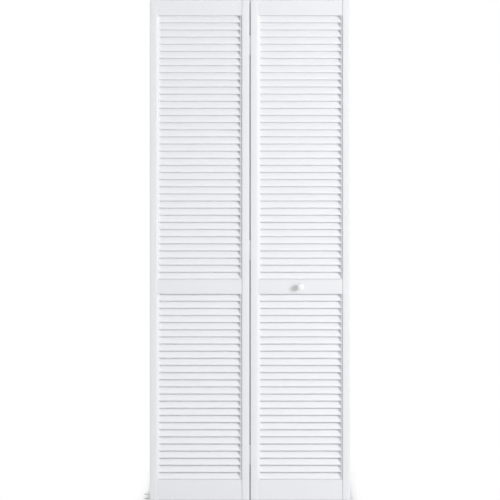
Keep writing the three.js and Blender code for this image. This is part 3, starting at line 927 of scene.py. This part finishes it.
@dataclass
class Leaf:
    """One leaf of the door: two stiles, three rails and two bays of slats."""

    prefix: str
    outer_stile: str
    out: int  # -1 where the outer stile is on the -X side
    bores: list[Hole] = field(default_factory=list)  # holes in the outer stile's ends
    ledge_width: float = 0.008  # ledge along a stile's bay edge, seen from the front
    ledge_step: float = 0.005  # drop from the stile's face to its ledge
    ledge_fall: float = 0.0008  # further drop, rounded off towards the bay
    ledge_steps: int = 12
    stile_ease: float = 0.0015
    stile_ease_steps: int = 5
    rail_ease: float = 0.0008
    slat_pitch: float = 0.0285  # nearest pitch, evened out over each bay
    slat_foot: float = 0.0005
    slat_width: float = 0.036
    slat_thickness: float = 0.00635
    slat_edge_steps: int = 8
    slat_tilt: float = 65.0  # degrees from horizontal, front edge low
    slat_housing: float = 0.006  # slat's end past the bay edge, let into the stile
    slat_wobble: float = 0.25  # degrees of one slat's tilt, either way
    seed: int = 5

    def build(self) -> None:
        """Makes every wooden piece of the leaf."""
        stiles = (
            (self.outer_stile, self.out, self.bores),
            (f"{self.prefix}_hinge_stile", -self.out, ()),
        )
        for stile in stiles:
            self.stile(*stile)
        edges = [self.bay_edge(node, away) for node, away, _ in stiles]
        left, right = min(edges), max(edges)
        rails = [f"{self.prefix}_{place}_rail" for place in ("top", "mid", "bottom")]
        for rail in rails:
            self.rail(rail, left, right)
        for bay, (above, below) in zip(("upper", "lower"), pairwise(rails)):
            top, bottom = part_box(above)[0].z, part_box(below)[1].z
            self.slats(f"{self.prefix}_{bay}_slats", (left, right), (bottom, top))

    def bay_edge(self, node: str, away: int) -> float:
        """Where a stile meets the bay. Away is the side on which the stile lies."""
        low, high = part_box(node)
        return low.x if away > 0 else high.x

    def ledge(self, gap: float) -> list[Pair]:
        """Draws the ledge at the back of a stile, from the bay's edge to the step.

        Args:
            gap: How far the line keeps off the ledge.

        Returns:
            Points whose first coordinate is the distance from the bay's edge.
        """
        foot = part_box(self.outer_stile)[1].y - self.ledge_step - self.ledge_fall
        radii = (self.ledge_width + gap, self.ledge_fall + gap)
        line = arc((self.ledge_width, foot), radii, 180, 90, self.ledge_steps)
        return [(min(u, self.ledge_width - gap), v) for u, v in line]

    def stile(self, node: str, away: int, bores: Sequence[Hole]) -> None:
        """Makes a stile with a stepped ledge along its inner edge.

        Args:
            node: The stile's node.
            away: The side of the bay on which it lies.
            bores: Holes in its ends.
        """
        low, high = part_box(node)
        ease, steps = self.stile_ease, self.stile_ease_steps
        eased = high.y - ease
        back = [
            *self.ledge(0.0),
            *arc((self.ledge_width + ease, eased), (ease, ease), 180, 90, steps),
            *arc((high.x - low.x - ease, eased), (ease, ease), 90, 0, steps),
        ]
        edge = self.bay_edge(node, away)
        placed = [(edge + away * u, v) for u, v in mirrored(back)]
        solid = Solid().prism(placed, Run.Z, low.z, high.z, bores)
        solid.piece(node, UPRIGHT_PAINT)

    def rail(self, node: str, left: float, right: float) -> None:
        """Makes a rail, its ends coped over the stiles' ledges.

        Args:
            node: The rail's node.
            left: The bay's edge on the -X side.
            right: The bay's edge on the +X side.
        """
        low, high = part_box(node)
        end = mirrored([*self.ledge(CLEARANCE), (self.ledge_width - CLEARANCE, high.y)])
        split = len(end) // 2
        front_to_back = end[split:] + end[:split]
        outline = [
            *((right + u, v) for u, v in front_to_back),
            *((left - u, v) for u, v in reversed(front_to_back)),
        ]
        solid = Solid().prism(outline, Run.Z, low.z, high.z)
        solid.piece(node, LEVEL_PAINT, ease=self.rail_ease)

    def slats(self, node: str, across: Pair, up: Pair) -> None:
        """Makes the slats of a bay, each let in between the stiles.

        Args:
            node: The bay's node.
            across: The bay's edges along X.
            up: The bay's bottom and top.
        """
        chance = random.Random(f"{self.seed} {node}")
        bottom, top = up
        room = top - bottom - self.slat_foot
        count = round(room / self.slat_pitch)
        pitch = room / count
        radius = self.slat_thickness / 2
        reach = self.slat_width / 2 - radius
        rise = 2 * reach * math.sin(math.radians(self.slat_tilt)) + self.slat_thickness
        section = [
            *arc((reach, 0), (radius, radius), -90, 90, self.slat_edge_steps),
            *arc((-reach, 0), (radius, radius), 90, 270, self.slat_edge_steps),
        ]
        start, end = across[0] - self.slat_housing, across[1] + self.slat_housing
        solid = Solid()
        for i in range(count):
            wobble = self.slat_wobble * chance.uniform(-1, 1)
            tilt = math.radians(self.slat_tilt + wobble)
            cos, sin = math.cos(tilt), math.sin(tilt)
            middle = top + rise / 2 - pitch * (i + 1)
            outline = [(u * cos - v * sin, middle + u * sin + v * cos) for u, v in section]
            solid.prism(outline, Run.X, start, end)
        # The slats' finish is the stiles' white made lighter: painted light.
        solid.piece(node, SLAT_PAINT_WITH_PAINTED_LIGHT)


@dataclass
class Hinge:
    """A hinge between the leaves: a plate on each edge, and a pin behind them."""

    number: int
    plate_gap: float = 0.0006
    plate_ease: float = 0.0002
    corner: float = 0.004
    knuckle_radius: float = 0.004
    knuckle_gap: float = 0.0004
    knuckle_count: int = 3
    bore_clear: float = 0.0002
    pin_share: float = 0.65  # radius of the pin, of its head's
    pin_rise: float = 0.0012  # of the dome on its head
    pin_steps: int = 5
    screw_radius: float = 0.0016
    screw_head_share: float = 0.85  # of the plate's thickness

    def build(self) -> None:
        """Makes both plates, the pin and the four screws."""
        prefix = f"hinge_{self.number}"
        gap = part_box("lead_hinge_stile")[0].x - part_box("pivot_hinge_stile")[1].x
        thickness = (gap - self.plate_gap) / 2 - CLEARANCE
        sink = self.screw_head_share * thickness
        halves = ((-1, "pivot", (-1, 1)), (1, "lead", (0,)))
        for side, leaf, knuckles in halves:
            self.plate(f"{prefix}_{leaf}", side, knuckles, thickness)
        self.pin()
        for side, leaf, _ in halves:
            for i in (1, 2):
                screw = f"{prefix}_{leaf}_screw_{i}"
                Screw(screw, (side, 0, 0), Head.FLAT, self.screw_radius, sink).build()

    def plate(self, half: str, side: int, knuckles: Sequence[int], thickness: float) -> None:
        """Makes a plate with its knuckles.

        Args:
            half: What the names of the plate and its screws start with.
            side: The side of the pin on which it lies.
            knuckles: Places of its knuckles along the pin, from the middle.
            thickness: Thickness of the plate.
        """
        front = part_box(f"{half}_plate")[0].y
        bottom, top = (end.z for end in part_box(f"hinge_{self.number}_pivot_plate"))
        pin_low, pin_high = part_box(f"hinge_{self.number}_pin")
        axis = (pin_low + pin_high) / 2
        notch = axis.y - self.knuckle_radius - self.knuckle_gap
        inner = axis.x + side * self.plate_gap / 2
        outer = inner + side * thickness
        sink = inner + side * self.screw_head_share * thickness
        levels = (inner, sink, outer)
        holes = [
            sunk_hole(f"{half}_screw_{i}", self.screw_radius, self.bore_clear, levels)
            for i in (1, 2)
        ]
        outline = rounded_box((front, bottom), (notch, top), self.corner)
        solid = Solid().prism(outline, Run.X, inner, outer, holes)
        bore = (pin_high.x - pin_low.x) / 2 * self.pin_share + self.bore_clear
        rim = self.knuckle_radius - self.plate_ease
        step = (top - bottom + self.knuckle_gap) / self.knuckle_count
        length = step - self.knuckle_gap
        knuckle = [
            (bore, 0),
            (rim, 0),
            (self.knuckle_radius, self.plate_ease),
            (self.knuckle_radius, length - self.plate_ease),
            (rim, length),
            (bore, length),
            (bore, 0),
        ]
        for place in knuckles:
            foot = axis.z + place * step - length / 2
            corners = (notch - self.knuckle_gap, foot), (axis.y - bore, foot + length)
            web = rounded_box(*corners, self.plate_ease)
            solid.prism(web, Run.X, inner, outer)
            solid.turned(knuckle, Matrix.Translation((axis.x, axis.y, foot)))
        solid.piece(f"{half}_plate", ZINC)

    def pin(self) -> None:
        """Makes the pin, a domed head on each end."""
        node = f"hinge_{self.number}_pin"
        low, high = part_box(node)
        head = (high.x - low.x) / 2
        neck = (high.z - low.z) / 2 - self.pin_rise
        dome = arc((0, neck), (head, self.pin_rise), 0, 90, self.pin_steps)
        top = [(head * self.pin_share, neck), *dome]
        profile = [(r, -h) for r, h in reversed(top)] + top
        place = Matrix.Translation(middle_of(node))
        Solid().turned(profile, place, SMALL_FACETS).piece(node, ZINC)


@dataclass
class Sleeve:
    """A nylon sleeve let into the end of a leaf, round the pin that goes in there."""

    node: str
    pin_radius: float
    out: int  # -1 where its flange is at its lower end
    lip: float = 0.0  # length of its narrow end, over a collar of the pin
    collar_radius: float = 0.0
    radius: float = 0.00635
    flange: float = 0.0012
    flange_ease: float = 0.0003

    def bore(self, mouth: float, floor: float) -> Hole:
        """Draws the hole in the leaf that the sleeve sits in.

        Args:
            mouth: Height of the leaf's end, where the hole is open.
            floor: Height that the hole goes to.

        Returns:
            The hole.
        """
        radius = self.radius + CLEARANCE
        centre = (middle_of(self.node).x, 0.0)
        return Hole(((radius, mouth), (radius, floor)), centre)

    def build(self) -> None:
        """Makes the sleeve."""
        low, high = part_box(self.node)
        face, end = (high.z, low.z) if self.out > 0 else (low.z, high.z)
        neck = face - self.out * self.flange
        edge = (high.x - low.x) / 2
        hole = self.pin_radius + CLEARANCE
        inside = [(hole, end)]
        if self.lip:
            step = face - self.out * self.lip
            wide = self.collar_radius + CLEARANCE
            inside = [(hole, step), (wide, step), (wide, end)]
        profile = [
            (hole, face),
            *inside,
            (self.radius, end),
            (self.radius, neck),
            (edge, neck),
            (edge, face - self.out * self.flange_ease),
            (edge - self.flange_ease, face),
            (hole, face),
        ]
        Solid().turned(profile, axis_of(self.node)).piece(self.node, NYLON)


@dataclass
class SprungPin:
    """A sprung pin in the top of a leaf, with its sleeve and spring."""

    sleeve_node: str
    spring_node: str
    joint: str
    pin_radius: float = 0.004
    collar_radius: float = 0.0046
    lip: float = 0.0015  # of the sleeve, over the collar
    stub_share: float = 0.6  # radius inside the spring, of the pin's
    stub_ease: float = 0.2  # bevel of its lower end, of that radius
    wire: float = 0.0005
    wire_sides: int = 8
    turns: int = 9
    steps_to_turn: int = 24

    @property
    def sleeve(self) -> Sleeve:
        """The sleeve, its lip over the pin's collar."""
        node, radius = self.sleeve_node, self.pin_radius
        return Sleeve(node, radius, 1, self.lip, self.collar_radius)

    def bore(self, leaf_top: float) -> Hole:
        """The hole that the sleeve and the spring sit in, open at the leaf's top."""
        return self.sleeve.bore(leaf_top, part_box(self.spring_node)[0].z - CLEARANCE)

    def spring(self) -> None:
        """Makes the wound spring at the length of its node."""
        low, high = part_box(self.spring_node)
        centre = (low + high) / 2
        radius = (high.x - low.x) / 2 - self.wire
        bottom, top = low.z + self.wire, high.z - self.wire
        closed = 2 * self.wire  # rise of the closed turn at each end
        path = []
        for i in range(self.turns * self.steps_to_turn + 1):
            turn = i / self.steps_to_turn
            share = min(max((turn - 1) / (self.turns - 2), 0), 1)
            rise = closed * (min(turn, 1) + max(turn - self.turns + 1, 0))
            height = bottom + rise + share * (top - bottom - 2 * closed)
            x = centre.x + radius * math.cos(math.tau * turn)
            y = centre.y + radius * math.sin(math.tau * turn)
            path.append(Vector((x, y, height)))
        solid = Solid().tube(path, self.wire, self.wire_sides)
        piece = solid.piece(self.spring_node, ZINC)
        travel = next(j["range_m"] for j in frame["joints"] if j["name"] == self.joint)
        keep = 1 + min(travel) / (high.z - low.z)
        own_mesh(piece)

    def tail(self, pin: str) -> list[Pair]:
        """Profile of the pin below the sleeve's lip.

        Args:
            pin: The pin's node.

        Returns:
            Pairs of radius and height, from the lower end up.
        """
        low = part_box(pin)[0].z
        collar_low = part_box(self.spring_node)[1].z + CLEARANCE
        collar_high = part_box(self.sleeve_node)[1].z - self.lip - CLEARANCE
        stub = self.stub_share * self.pin_radius
        ease = self.stub_ease * stub
        return [
            (0.0, low),
            (stub - ease, low),
            (stub, low + ease),
            (stub, collar_low),
            (self.collar_radius, collar_low),
            (self.collar_radius, collar_high),
            (self.pin_radius, collar_high),
        ]


@dataclass
class TopPivot(SprungPin):
    """The sprung pin on which the pivot leaf turns at the header."""

    nose_ease: float = 0.0014

    def build(self) -> None:
        """Makes the sleeve, the spring and the pin."""
        self.sleeve.build()
        self.spring()
        node = "top_pivot_pin"
        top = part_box(node)[1].z
        profile = [*self.tail(node), *nose(self.pin_radius, top, self.nose_ease)]
        Solid().turned(profile, axis_of(node)).piece(node, ZINC)


@dataclass
class Guide(SprungPin):
    """The sprung guide of the lead leaf, with the roller that runs in the track."""

    spindle: float = 0.003
    head_radius: float = 0.0055
    head_height: float = 0.0015
    head_ease: float = 0.0009
    crown: float = 0.0008
    crown_steps: int = 4
    dish_share: float = 0.12  # depth of the roller's dish, of its half height

    def build(self) -> None:
        """Makes the sleeve, the spring, the pin and the roller."""
        self.sleeve.build()
        self.spring()
        self.pin()
        self.roller()

    def pin(self) -> None:
        """Makes the pin, stepped down to a spindle under its head."""
        node = "guide_pin"
        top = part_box(node)[1].z
        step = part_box("guide_roller")[0].z - CLEARANCE
        profile = [
            *self.tail(node),
            (self.pin_radius, step),
            (self.spindle, step),
            (self.spindle, top - self.head_height),
            (self.head_radius, top - self.head_height),
            *nose(self.head_radius, top, self.head_ease, self.crown_steps),
        ]
        Solid().turned(profile, axis_of(node)).piece(node, ZINC)

    def roller(self) -> None:
        """Makes the nylon roller, a little crowned and dished at its faces."""
        node = "guide_roller"
        low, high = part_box(node)
        radius = (high.x - low.x) / 2
        half = (high.z - low.z) / 2
        bore = self.spindle + CLEARANCE
        hub = (bore + radius) / 2
        dish = half * (1 - self.dish_share)
        rim = self.crown
        top = [
            *arc((radius - rim, half - rim), (rim, rim), 0, 90, self.crown_steps),
            (hub + rim, half),
            (hub, dish),
            (bore + rim, dish),
            (bore + rim / 2, half),
            (bore, half),
        ]
        profile = top + [(r, -h) for r, h in reversed(top)]
        profile.append(profile[0])
        Solid().turned(profile, Matrix.Translation(middle_of(node))).piece(node, NYLON)


@dataclass
class HeadTrack:
    """The steel track under the header, its screws, and the top pivot's bracket."""

    wall: float = 0.0012
    lip: float = 0.006
    bend: float = 0.0018
    screw_count: int = 4
    outer_steps: int = 5
    inner_steps: int = 4
    lip_steps: int = 6
    screw_radius: float = 0.0021
    screw_head: float = 0.0026
    clamp_radius: float = 0.0025
    clamp_head: float = 0.0024
    clamp_pitch: float = 0.001
    bracket_corner: float = 0.003
    bracket_ease: float = 0.0003

    def build(self) -> None:
        """Makes every fixed piece at the header."""
        self.track()
        sizes = (self.screw_radius, self.screw_head)
        for i in range(self.screw_count):
            Screw(f"track_screw_{i + 1}", (0, 0, 1), Head.PAN, *sizes).build()
        self.bracket()
        Screw(
            "top_bracket_screw",
            (0, 0, 1),
            Head.PAN,
            self.clamp_radius,
            self.clamp_head,
            self.clamp_pitch,
            thread_share=0.2,
            thread_start=0.5,
            run_out=0.4,
            tip_share=0.2,
            tip_flat=0.8,
            socket_share=0.5,
            socket_depth=0.6,
        ).build()

    def track(self) -> None:
        """Makes the channel, with round bends and inturned lips."""
        node = "head_track"
        low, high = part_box(node)
        outer, inner, edge = self.bend, self.bend - self.wall, self.wall / 2
        side, roof, sole = high.y - outer, high.z - outer, low.z + outer
        lip = (high.y - self.lip + edge, low.z + edge)
        right = [
            *arc((side, roof), (outer, outer), 90, 0, self.outer_steps),
            *arc((side, sole), (outer, outer), 0, -90, self.outer_steps),
            *arc(lip, (edge, edge), -90, -270, self.lip_steps),
            *arc((side, sole), (inner, inner), -90, 0, self.inner_steps),
            *arc((side, roof), (inner, inner), 0, 90, self.inner_steps),
        ]
        outline = right + [(-u, v) for u, v in reversed(right)]
        Solid().prism(outline, Run.X, low.x, high.x).piece(node, ENAMEL)

    def bracket(self) -> None:
        """Makes the plate that holds the top pivot, with its two holes."""
        node = "top_pivot_bracket"
        low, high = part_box(node)
        holes = [
            pin_hole("top_pivot_pin", SprungPin.pin_radius, low.z, high.z),
            pin_hole("top_bracket_screw", self.clamp_radius, low.z, high.z),
        ]
        outline = rounded_box((low.x, low.y), (high.x, high.y), self.bracket_corner)
        solid = Solid().prism(outline, Run.Z, low.z, high.z, holes)
        solid.piece(node, ZINC, ease=self.bracket_ease)


@dataclass
class BottomPivot:
    """The bracket at the foot of the jamb, and the pin that carries the pivot leaf."""

    thread_radius: float = 0.0045
    thread_pitch: float = 0.0014
    thread_depth: float = 0.0006
    pin_radius: float = 0.004
    nose_ease: float = 0.0014
    plate: float = 0.002
    foot: float = 0.0025
    corner: float = 0.008
    corner_steps: int = 6
    toe_steps: int = 16
    bend: float = 0.0025
    bracket_ease: float = 0.0003
    collar_height: float = 0.003
    collar_radius: float = 0.0072
    nut_radius: float = 0.0078
    nut_ease: float = 0.0004
    screw_radius: float = 0.002
    screw_head: float = 0.0017
    hole_land: float = 0.0003  # straight stretch behind a hole's countersink

    @property
    def axis(self) -> Vector:
        """A point of the axis that the leaf turns on."""
        return middle_of("bottom_pivot_sleeve")

    @property
    def sleeve(self) -> Sleeve:
        """The sleeve that turns on the pin."""
        return Sleeve("bottom_pivot_sleeve", self.pin_radius, -1)

    def build(self) -> None:
        """Makes the bracket, its screws, the pin, the lock nut and the sleeve."""
        self.bracket()
        sizes = (self.screw_radius, self.screw_head)
        for i in (1, 2):
            Screw(f"jamb_screw_{i}", (-1, 0, 0), Head.FLAT, *sizes).build()
        self.pin()
        self.nut()
        self.sleeve.build()

    def bore(self) -> Hole:
        """The hole that the sleeve sits in, open at the leaf's bottom."""
        leaf_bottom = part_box("pivot_jamb_stile")[0].z
        return self.sleeve.bore(leaf_bottom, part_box(self.sleeve.node)[1].z + CLEARANCE)

    def bracket(self) -> None:
        """Makes the angle bracket, a plate bent through a right angle."""
        node = "jamb_bracket"
        low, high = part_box(node)
        corner, bend, half = self.corner, self.bend, high.y
        face = low.x + self.plate
        sole = low.z + self.foot
        steps = self.corner_steps
        upright = [
            (-half, sole + bend),
            (half, sole + bend),
            *arc((half - corner, high.z - corner), (corner, corner), 0, 90, steps),
            *arc((corner - half, high.z - corner), (corner, corner), 90, 180, steps),
        ]
        levels = (face, low.x + self.hole_land, low.x)
        holes = [
            sunk_hole(f"jamb_screw_{i}", self.screw_radius, CLEARANCE / 2, levels)
            for i in (1, 2)
        ]
        solid = Solid().prism(upright, Run.X, low.x, face, holes)
        middle = (face + bend, sole + bend)
        angle = [
            *arc(middle, (bend, bend), 180, 270, steps),
            *arc(middle, (bend + self.plate, bend + self.foot), 270, 180, steps),
        ]
        solid.prism(angle, Run.Y, -half, half)
        toe = [
            (face + bend, -half),
            *arc((high.x - half, 0), (half, half), -90, 90, self.toe_steps),
            (face + bend, half),
        ]
        hole = pin_hole("bottom_pivot_sleeve", self.thread_radius, low.z, sole)
        solid.prism(toe, Run.Z, low.z, sole, [hole])
        solid.weld().piece(node, ZINC, ease=self.bracket_ease)

    def hexagon(self, radius: float) -> list[Pair]:
        """Draws a hexagon round the pivot axis."""
        axis = self.axis
        return [(axis.x + radius * u, axis.y + radius * v) for u, v in circle(6)]

    def pin(self) -> None:
        """Makes the threaded pin with its hexagonal collar."""
        node = "bottom_pivot_pin"
        low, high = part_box(node)
        collar_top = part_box("bottom_pivot_sleeve")[0].z - CLEARANCE
        collar_low = collar_top - self.collar_height
        place = axis_of("bottom_pivot_sleeve")
        start = low.z + self.thread_depth
        thread = Thread(start, collar_low, self.thread_pitch, self.thread_depth)
        shank = [
            (0.0, low.z),
            (self.thread_radius - self.thread_depth, low.z),
            (self.thread_radius, start),
            (self.thread_radius, collar_low),
            (self.thread_radius, collar_low + self.thread_depth),
            (0.0, collar_low + self.thread_depth),
        ]
        solid = Solid().turned(shank, place, FINE_FACETS, thread)
        solid.prism(self.hexagon(self.collar_radius), Run.Z, collar_low, collar_top)
        spindle = [
            (0.0, collar_low),
            (self.pin_radius, collar_low),
            *nose(self.pin_radius, high.z, self.nose_ease),
        ]
        solid.turned(spindle, place).piece(node, ZINC)

    def nut(self) -> None:
        """Makes the lock nut."""
        node = "pivot_lock_nut"
        low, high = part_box(node)
        hole = pin_hole("bottom_pivot_sleeve", self.thread_radius, low.z, high.z)
        outline = self.hexagon(self.nut_radius)
        solid = Solid().prism(outline, Run.Z, low.z, high.z, [hole])
        solid.piece(node, ZINC, ease=self.nut_ease)


@dataclass
class Knob:
    """The turned wooden knob on the lead leaf's mid rail, and its screw."""

    profile_shares: tuple[Pair, ...] = (
        *((0.56, 0.0), (0.5, 0.1), (0.42, 0.26), (0.5, 0.4), (0.84, 0.56)),
        *((1.0, 0.7), (0.985, 0.82), (0.88, 0.92), (0.55, 0.98), (0.0, 1.0)),
    )  # of its radius and of its reach
    profile_steps: int = 6
    facets: int = 64
    screw_radius: float = 0.002
    screw_head: float = 0.002

    def build(self) -> None:
        """Makes the knob and the screw through the rail."""
        low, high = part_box("knob")
        centre = (low + high) / 2
        radius = (high.x - low.x) / 2
        reach = high.y - low.y
        shares = smooth_line(self.profile_shares, self.profile_steps)
        widest = max(r for r, _ in shares)
        profile = [(radius * max(r, 0) / widest, reach * h) for r, h in shares]
        foot = Matrix.Translation((centre.x, high.y, centre.z))
        place = foot @ Matrix.Rotation(math.pi / 2, 4, "X")
        Solid().turned(profile, place, self.facets).piece("knob", KNOB_PAINT)
        sizes = (self.screw_radius, self.screw_head)
        Screw("knob_screw", (0, -1, 0), Head.PAN, *sizes).build()


@dataclass(frozen=True)
class Lamp:
    """A square soft lamp, out of the camera's sight."""

    name: str
    place: Triple
    power: float  # watts
    size: float = 2.5

    def build(self, target: Vector) -> None:
        """Sets the lamp.

        Args:
            target: The place that it shines at.
        """
        data = bpy.data.lights.new(self.name, "AREA")
        data.shape = "SQUARE"
        data.size = self.size
        data.energy = self.power
        lamp = scene_object(self.name, data)
        lamp.location = self.place
        aim = (target - lamp.location).to_track_quat("-Z", "Y")
        lamp.rotation_euler = aim.to_euler()
        lamp.visible_camera = False


@dataclass
class Studio:
    """A plain pale floor and backdrop, soft light, and a camera straight in front."""

    camera_distance: float = 20.0
    clip_distance: float = 100.0
    sensor: float = 36.0  # millimetres
    key: Lamp = Lamp("key", (5.5, -4.6, 0.5), 367.0)
    fill: float = 0.35
    sky: float = 0.39  # further fill from above, fading towards level
    floor_reach: float = 14.0
    floor_colour: Triple = (0.86, 0.86, 0.86)
    floor_glow: float = 0.2
    fade: Pair = (0.7, 1.8)  # where the floor starts and ends turning white
    backdrop_gap: float = 0.03  # behind the leaves
    backdrop_reach: float = 1.6
    backdrop_top: float = 0.8
    # painted shade: the backdrop's colour where the leaves hide open space from it
    backdrop_shade: Triple = (0.085, 0.088, 0.13)
    shade_samples: int = 16
    shade_reach: float = 0.3
    shade_range: Pair = (0.12, 0.4)  # shares of open space, shaded to white

    def build(self) -> None:
        """Makes the camera, the lamp, the world, the floor and the backdrop."""
        low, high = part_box("pivot_jamb_stile")
        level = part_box("jamb_bracket")[0].z
        middle = (low.z + high.z) / 2
        self.camera(low.y, middle, high.z - low.z)
        self.key.build(Vector((0.0, 0.0, middle)))
        self.world()
        self.floor(level)
        self.backdrop(level, high.y + self.backdrop_gap)

    def camera(self, front: float, middle: float, height: float) -> None:
        """Sets the camera so that the leaves fill the picture's height.

        Args:
            front: Place of the leaves' face along Y.
            middle: Height of the leaves' middle.
            height: The leaves' height.
        """
        data = bpy.data.cameras.new("camera")
        camera = scene_object("camera", data)
        camera.location = (0.0, -self.camera_distance, middle)
        camera.rotation_euler = (math.pi / 2, 0.0, 0.0)
        data.sensor_width = self.sensor
        data.lens = self.sensor * (self.camera_distance + front) / height
        data.clip_end = self.clip_distance
        bpy.context.scene.camera = camera

    def world(self) -> None:
        """Makes an even surround, stronger above, that is white where it is seen.

        It is seen by the camera, in a gloss and through a clear piece.
        """
        world = bpy.data.worlds.new("surround")
        bpy.context.scene.world = world
        shader = Shader(world)
        toward = shader.add("ShaderNodeTexCoord", output="Generated")
        height = shader.add("ShaderNodeSeparateXYZ", sockets={0: toward}, output="Z")
        plain = {"Color": opaque(WHITE)}
        lit = {**plain, "Strength": self.fill + self.sky * height.at_least(0.0)}
        light = shader.add("ShaderNodeBackground", sockets=lit)
        white = shader.add("ShaderNodeBackground", sockets=plain)
        kinds = [f"Is {kind} Ray" for kind in ("Camera", "Glossy", "Transmission")]
        camera, gloss, clear = (shader.add("ShaderNodeLightPath", output=kind) for kind in kinds)
        shader.finish(shader.blend(camera + gloss + clear, light, white))

    def sheet(self, name: str, run: Run, low: Pair, high: Pair, along: float) -> bpy.types.Object:
        """Makes a flat stage piece that lies across an axis.

        Args:
            name: Its name.
            run: The axis.
            low: Its lowest corner.
            high: Its highest corner.
            along: Its place along the axis.

        Returns:
            The stage piece, with an empty material.
        """
        corners = (low, (high[0], low[1]), high, (low[0], high[1]))
        places = [tuple(run.point(u, v, along)) for u, v in corners]
        data = bpy.data.meshes.new(name)
        data.from_pydata(places, [], [tuple(range(len(places)))])
        piece = scene_object(name, data)
        data.materials.append(bpy.data.materials.new(name))
        return piece

    def floor(self, level: float) -> None:
        """Makes a pale floor that keeps the door's shadow and turns white further off.

        Args:
            level: Its height.
        """
        reach = self.floor_reach
        sheet = self.sheet("floor", Run.Z, (-reach, -reach), (reach, reach), level)
        shader = Shader(sheet.data.materials[0])
        spot = shader.add("ShaderNodeNewGeometry", output="Position")
        distance = {"operation": "DISTANCE"}
        ends = {0: spot, 1: (0.0, 0.0, level)}
        far = shader.add("ShaderNodeVectorMath", distance, ends, output="Value")
        camera = shader.add("ShaderNodeLightPath", output="Is Camera Ray")
        colour = {"Color": opaque(self.floor_colour)}
        pale = shader.add("ShaderNodeBsdfDiffuse", sockets=colour)
        shine = {"Strength": camera * self.floor_glow}
        glow = shader.add("ShaderNodeEmission", sockets=shine)
        lit = shader.add("ShaderNodeAddShader", sockets={0: pale, 1: glow})
        white = shader.add("ShaderNodeEmission")
        shader.finish(shader.blend(camera * far.above(*self.fade), lit, white))

    def backdrop(self, level: float, back: float) -> None:
        """Makes a white backdrop with painted shade where the leaves cover it.

        It is seen from the room side alone, and neither lights nor shades the door.

        Args:
            level: Height of its foot.
            back: Its place behind the leaves.
        """
        low = (-self.backdrop_reach, level)
        high = (self.backdrop_reach, self.backdrop_top)
        sheet = self.sheet("backdrop", Run.Y, low, high, back)
        for kind in ("diffuse", "glossy", "transmission", "shadow"):
            setattr(sheet, f"visible_{kind}", False)
        shader = Shader(sheet.data.materials[0])
        rays = {"samples": self.shade_samples}
        reach = {"Distance": self.shade_reach}
        # Painted shade: ambient occlusion turns the emitted white towards backdrop_shade behind
        # the leaves.
        space = shader.add("ShaderNodeAmbientOcclusion", rays, reach, "AO")
        share = space.above(*self.shade_range)
        colour = shader.mix(share, self.backdrop_shade, WHITE)
        shown = shader.add("ShaderNodeEmission", sockets={"Color": colour})
        clear = shader.add("ShaderNodeBsdfTransparent")
        behind = shader.add("ShaderNodeNewGeometry", output="Backfacing")
        shader.finish(shader.blend(behind, shown, clear))


def main() -> None:
    """Builds the studio and every piece of the door."""
    logging.basicConfig(level=logging.INFO, format="%(name)s %(message)s")
    bpy.context.scene.view_settings.view_transform = "Standard"
    Studio().build()
    top_pivot = TopPivot("top_pivot_sleeve", "top_pivot_spring", "top_pivot_slide")
    guide = Guide("guide_sleeve", "guide_spring", "guide_slide")
    bottom_pivot = BottomPivot()
    leaf_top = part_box("pivot_jamb_stile")[1].z
    pivot_bores = [top_pivot.bore(leaf_top), bottom_pivot.bore()]
    Leaf("pivot", "pivot_jamb_stile", -1, pivot_bores).build()
    Leaf("lead", "lead_guide_stile", 1, [guide.bore(leaf_top)]).build()
    for number in (1, 2, 3):
        Hinge(number).build()
    top_pivot.build()
    guide.build()
    bottom_pivot.build()
    HeadTrack().build()
    Knob().build()


if __name__ == "__main__":
    main()
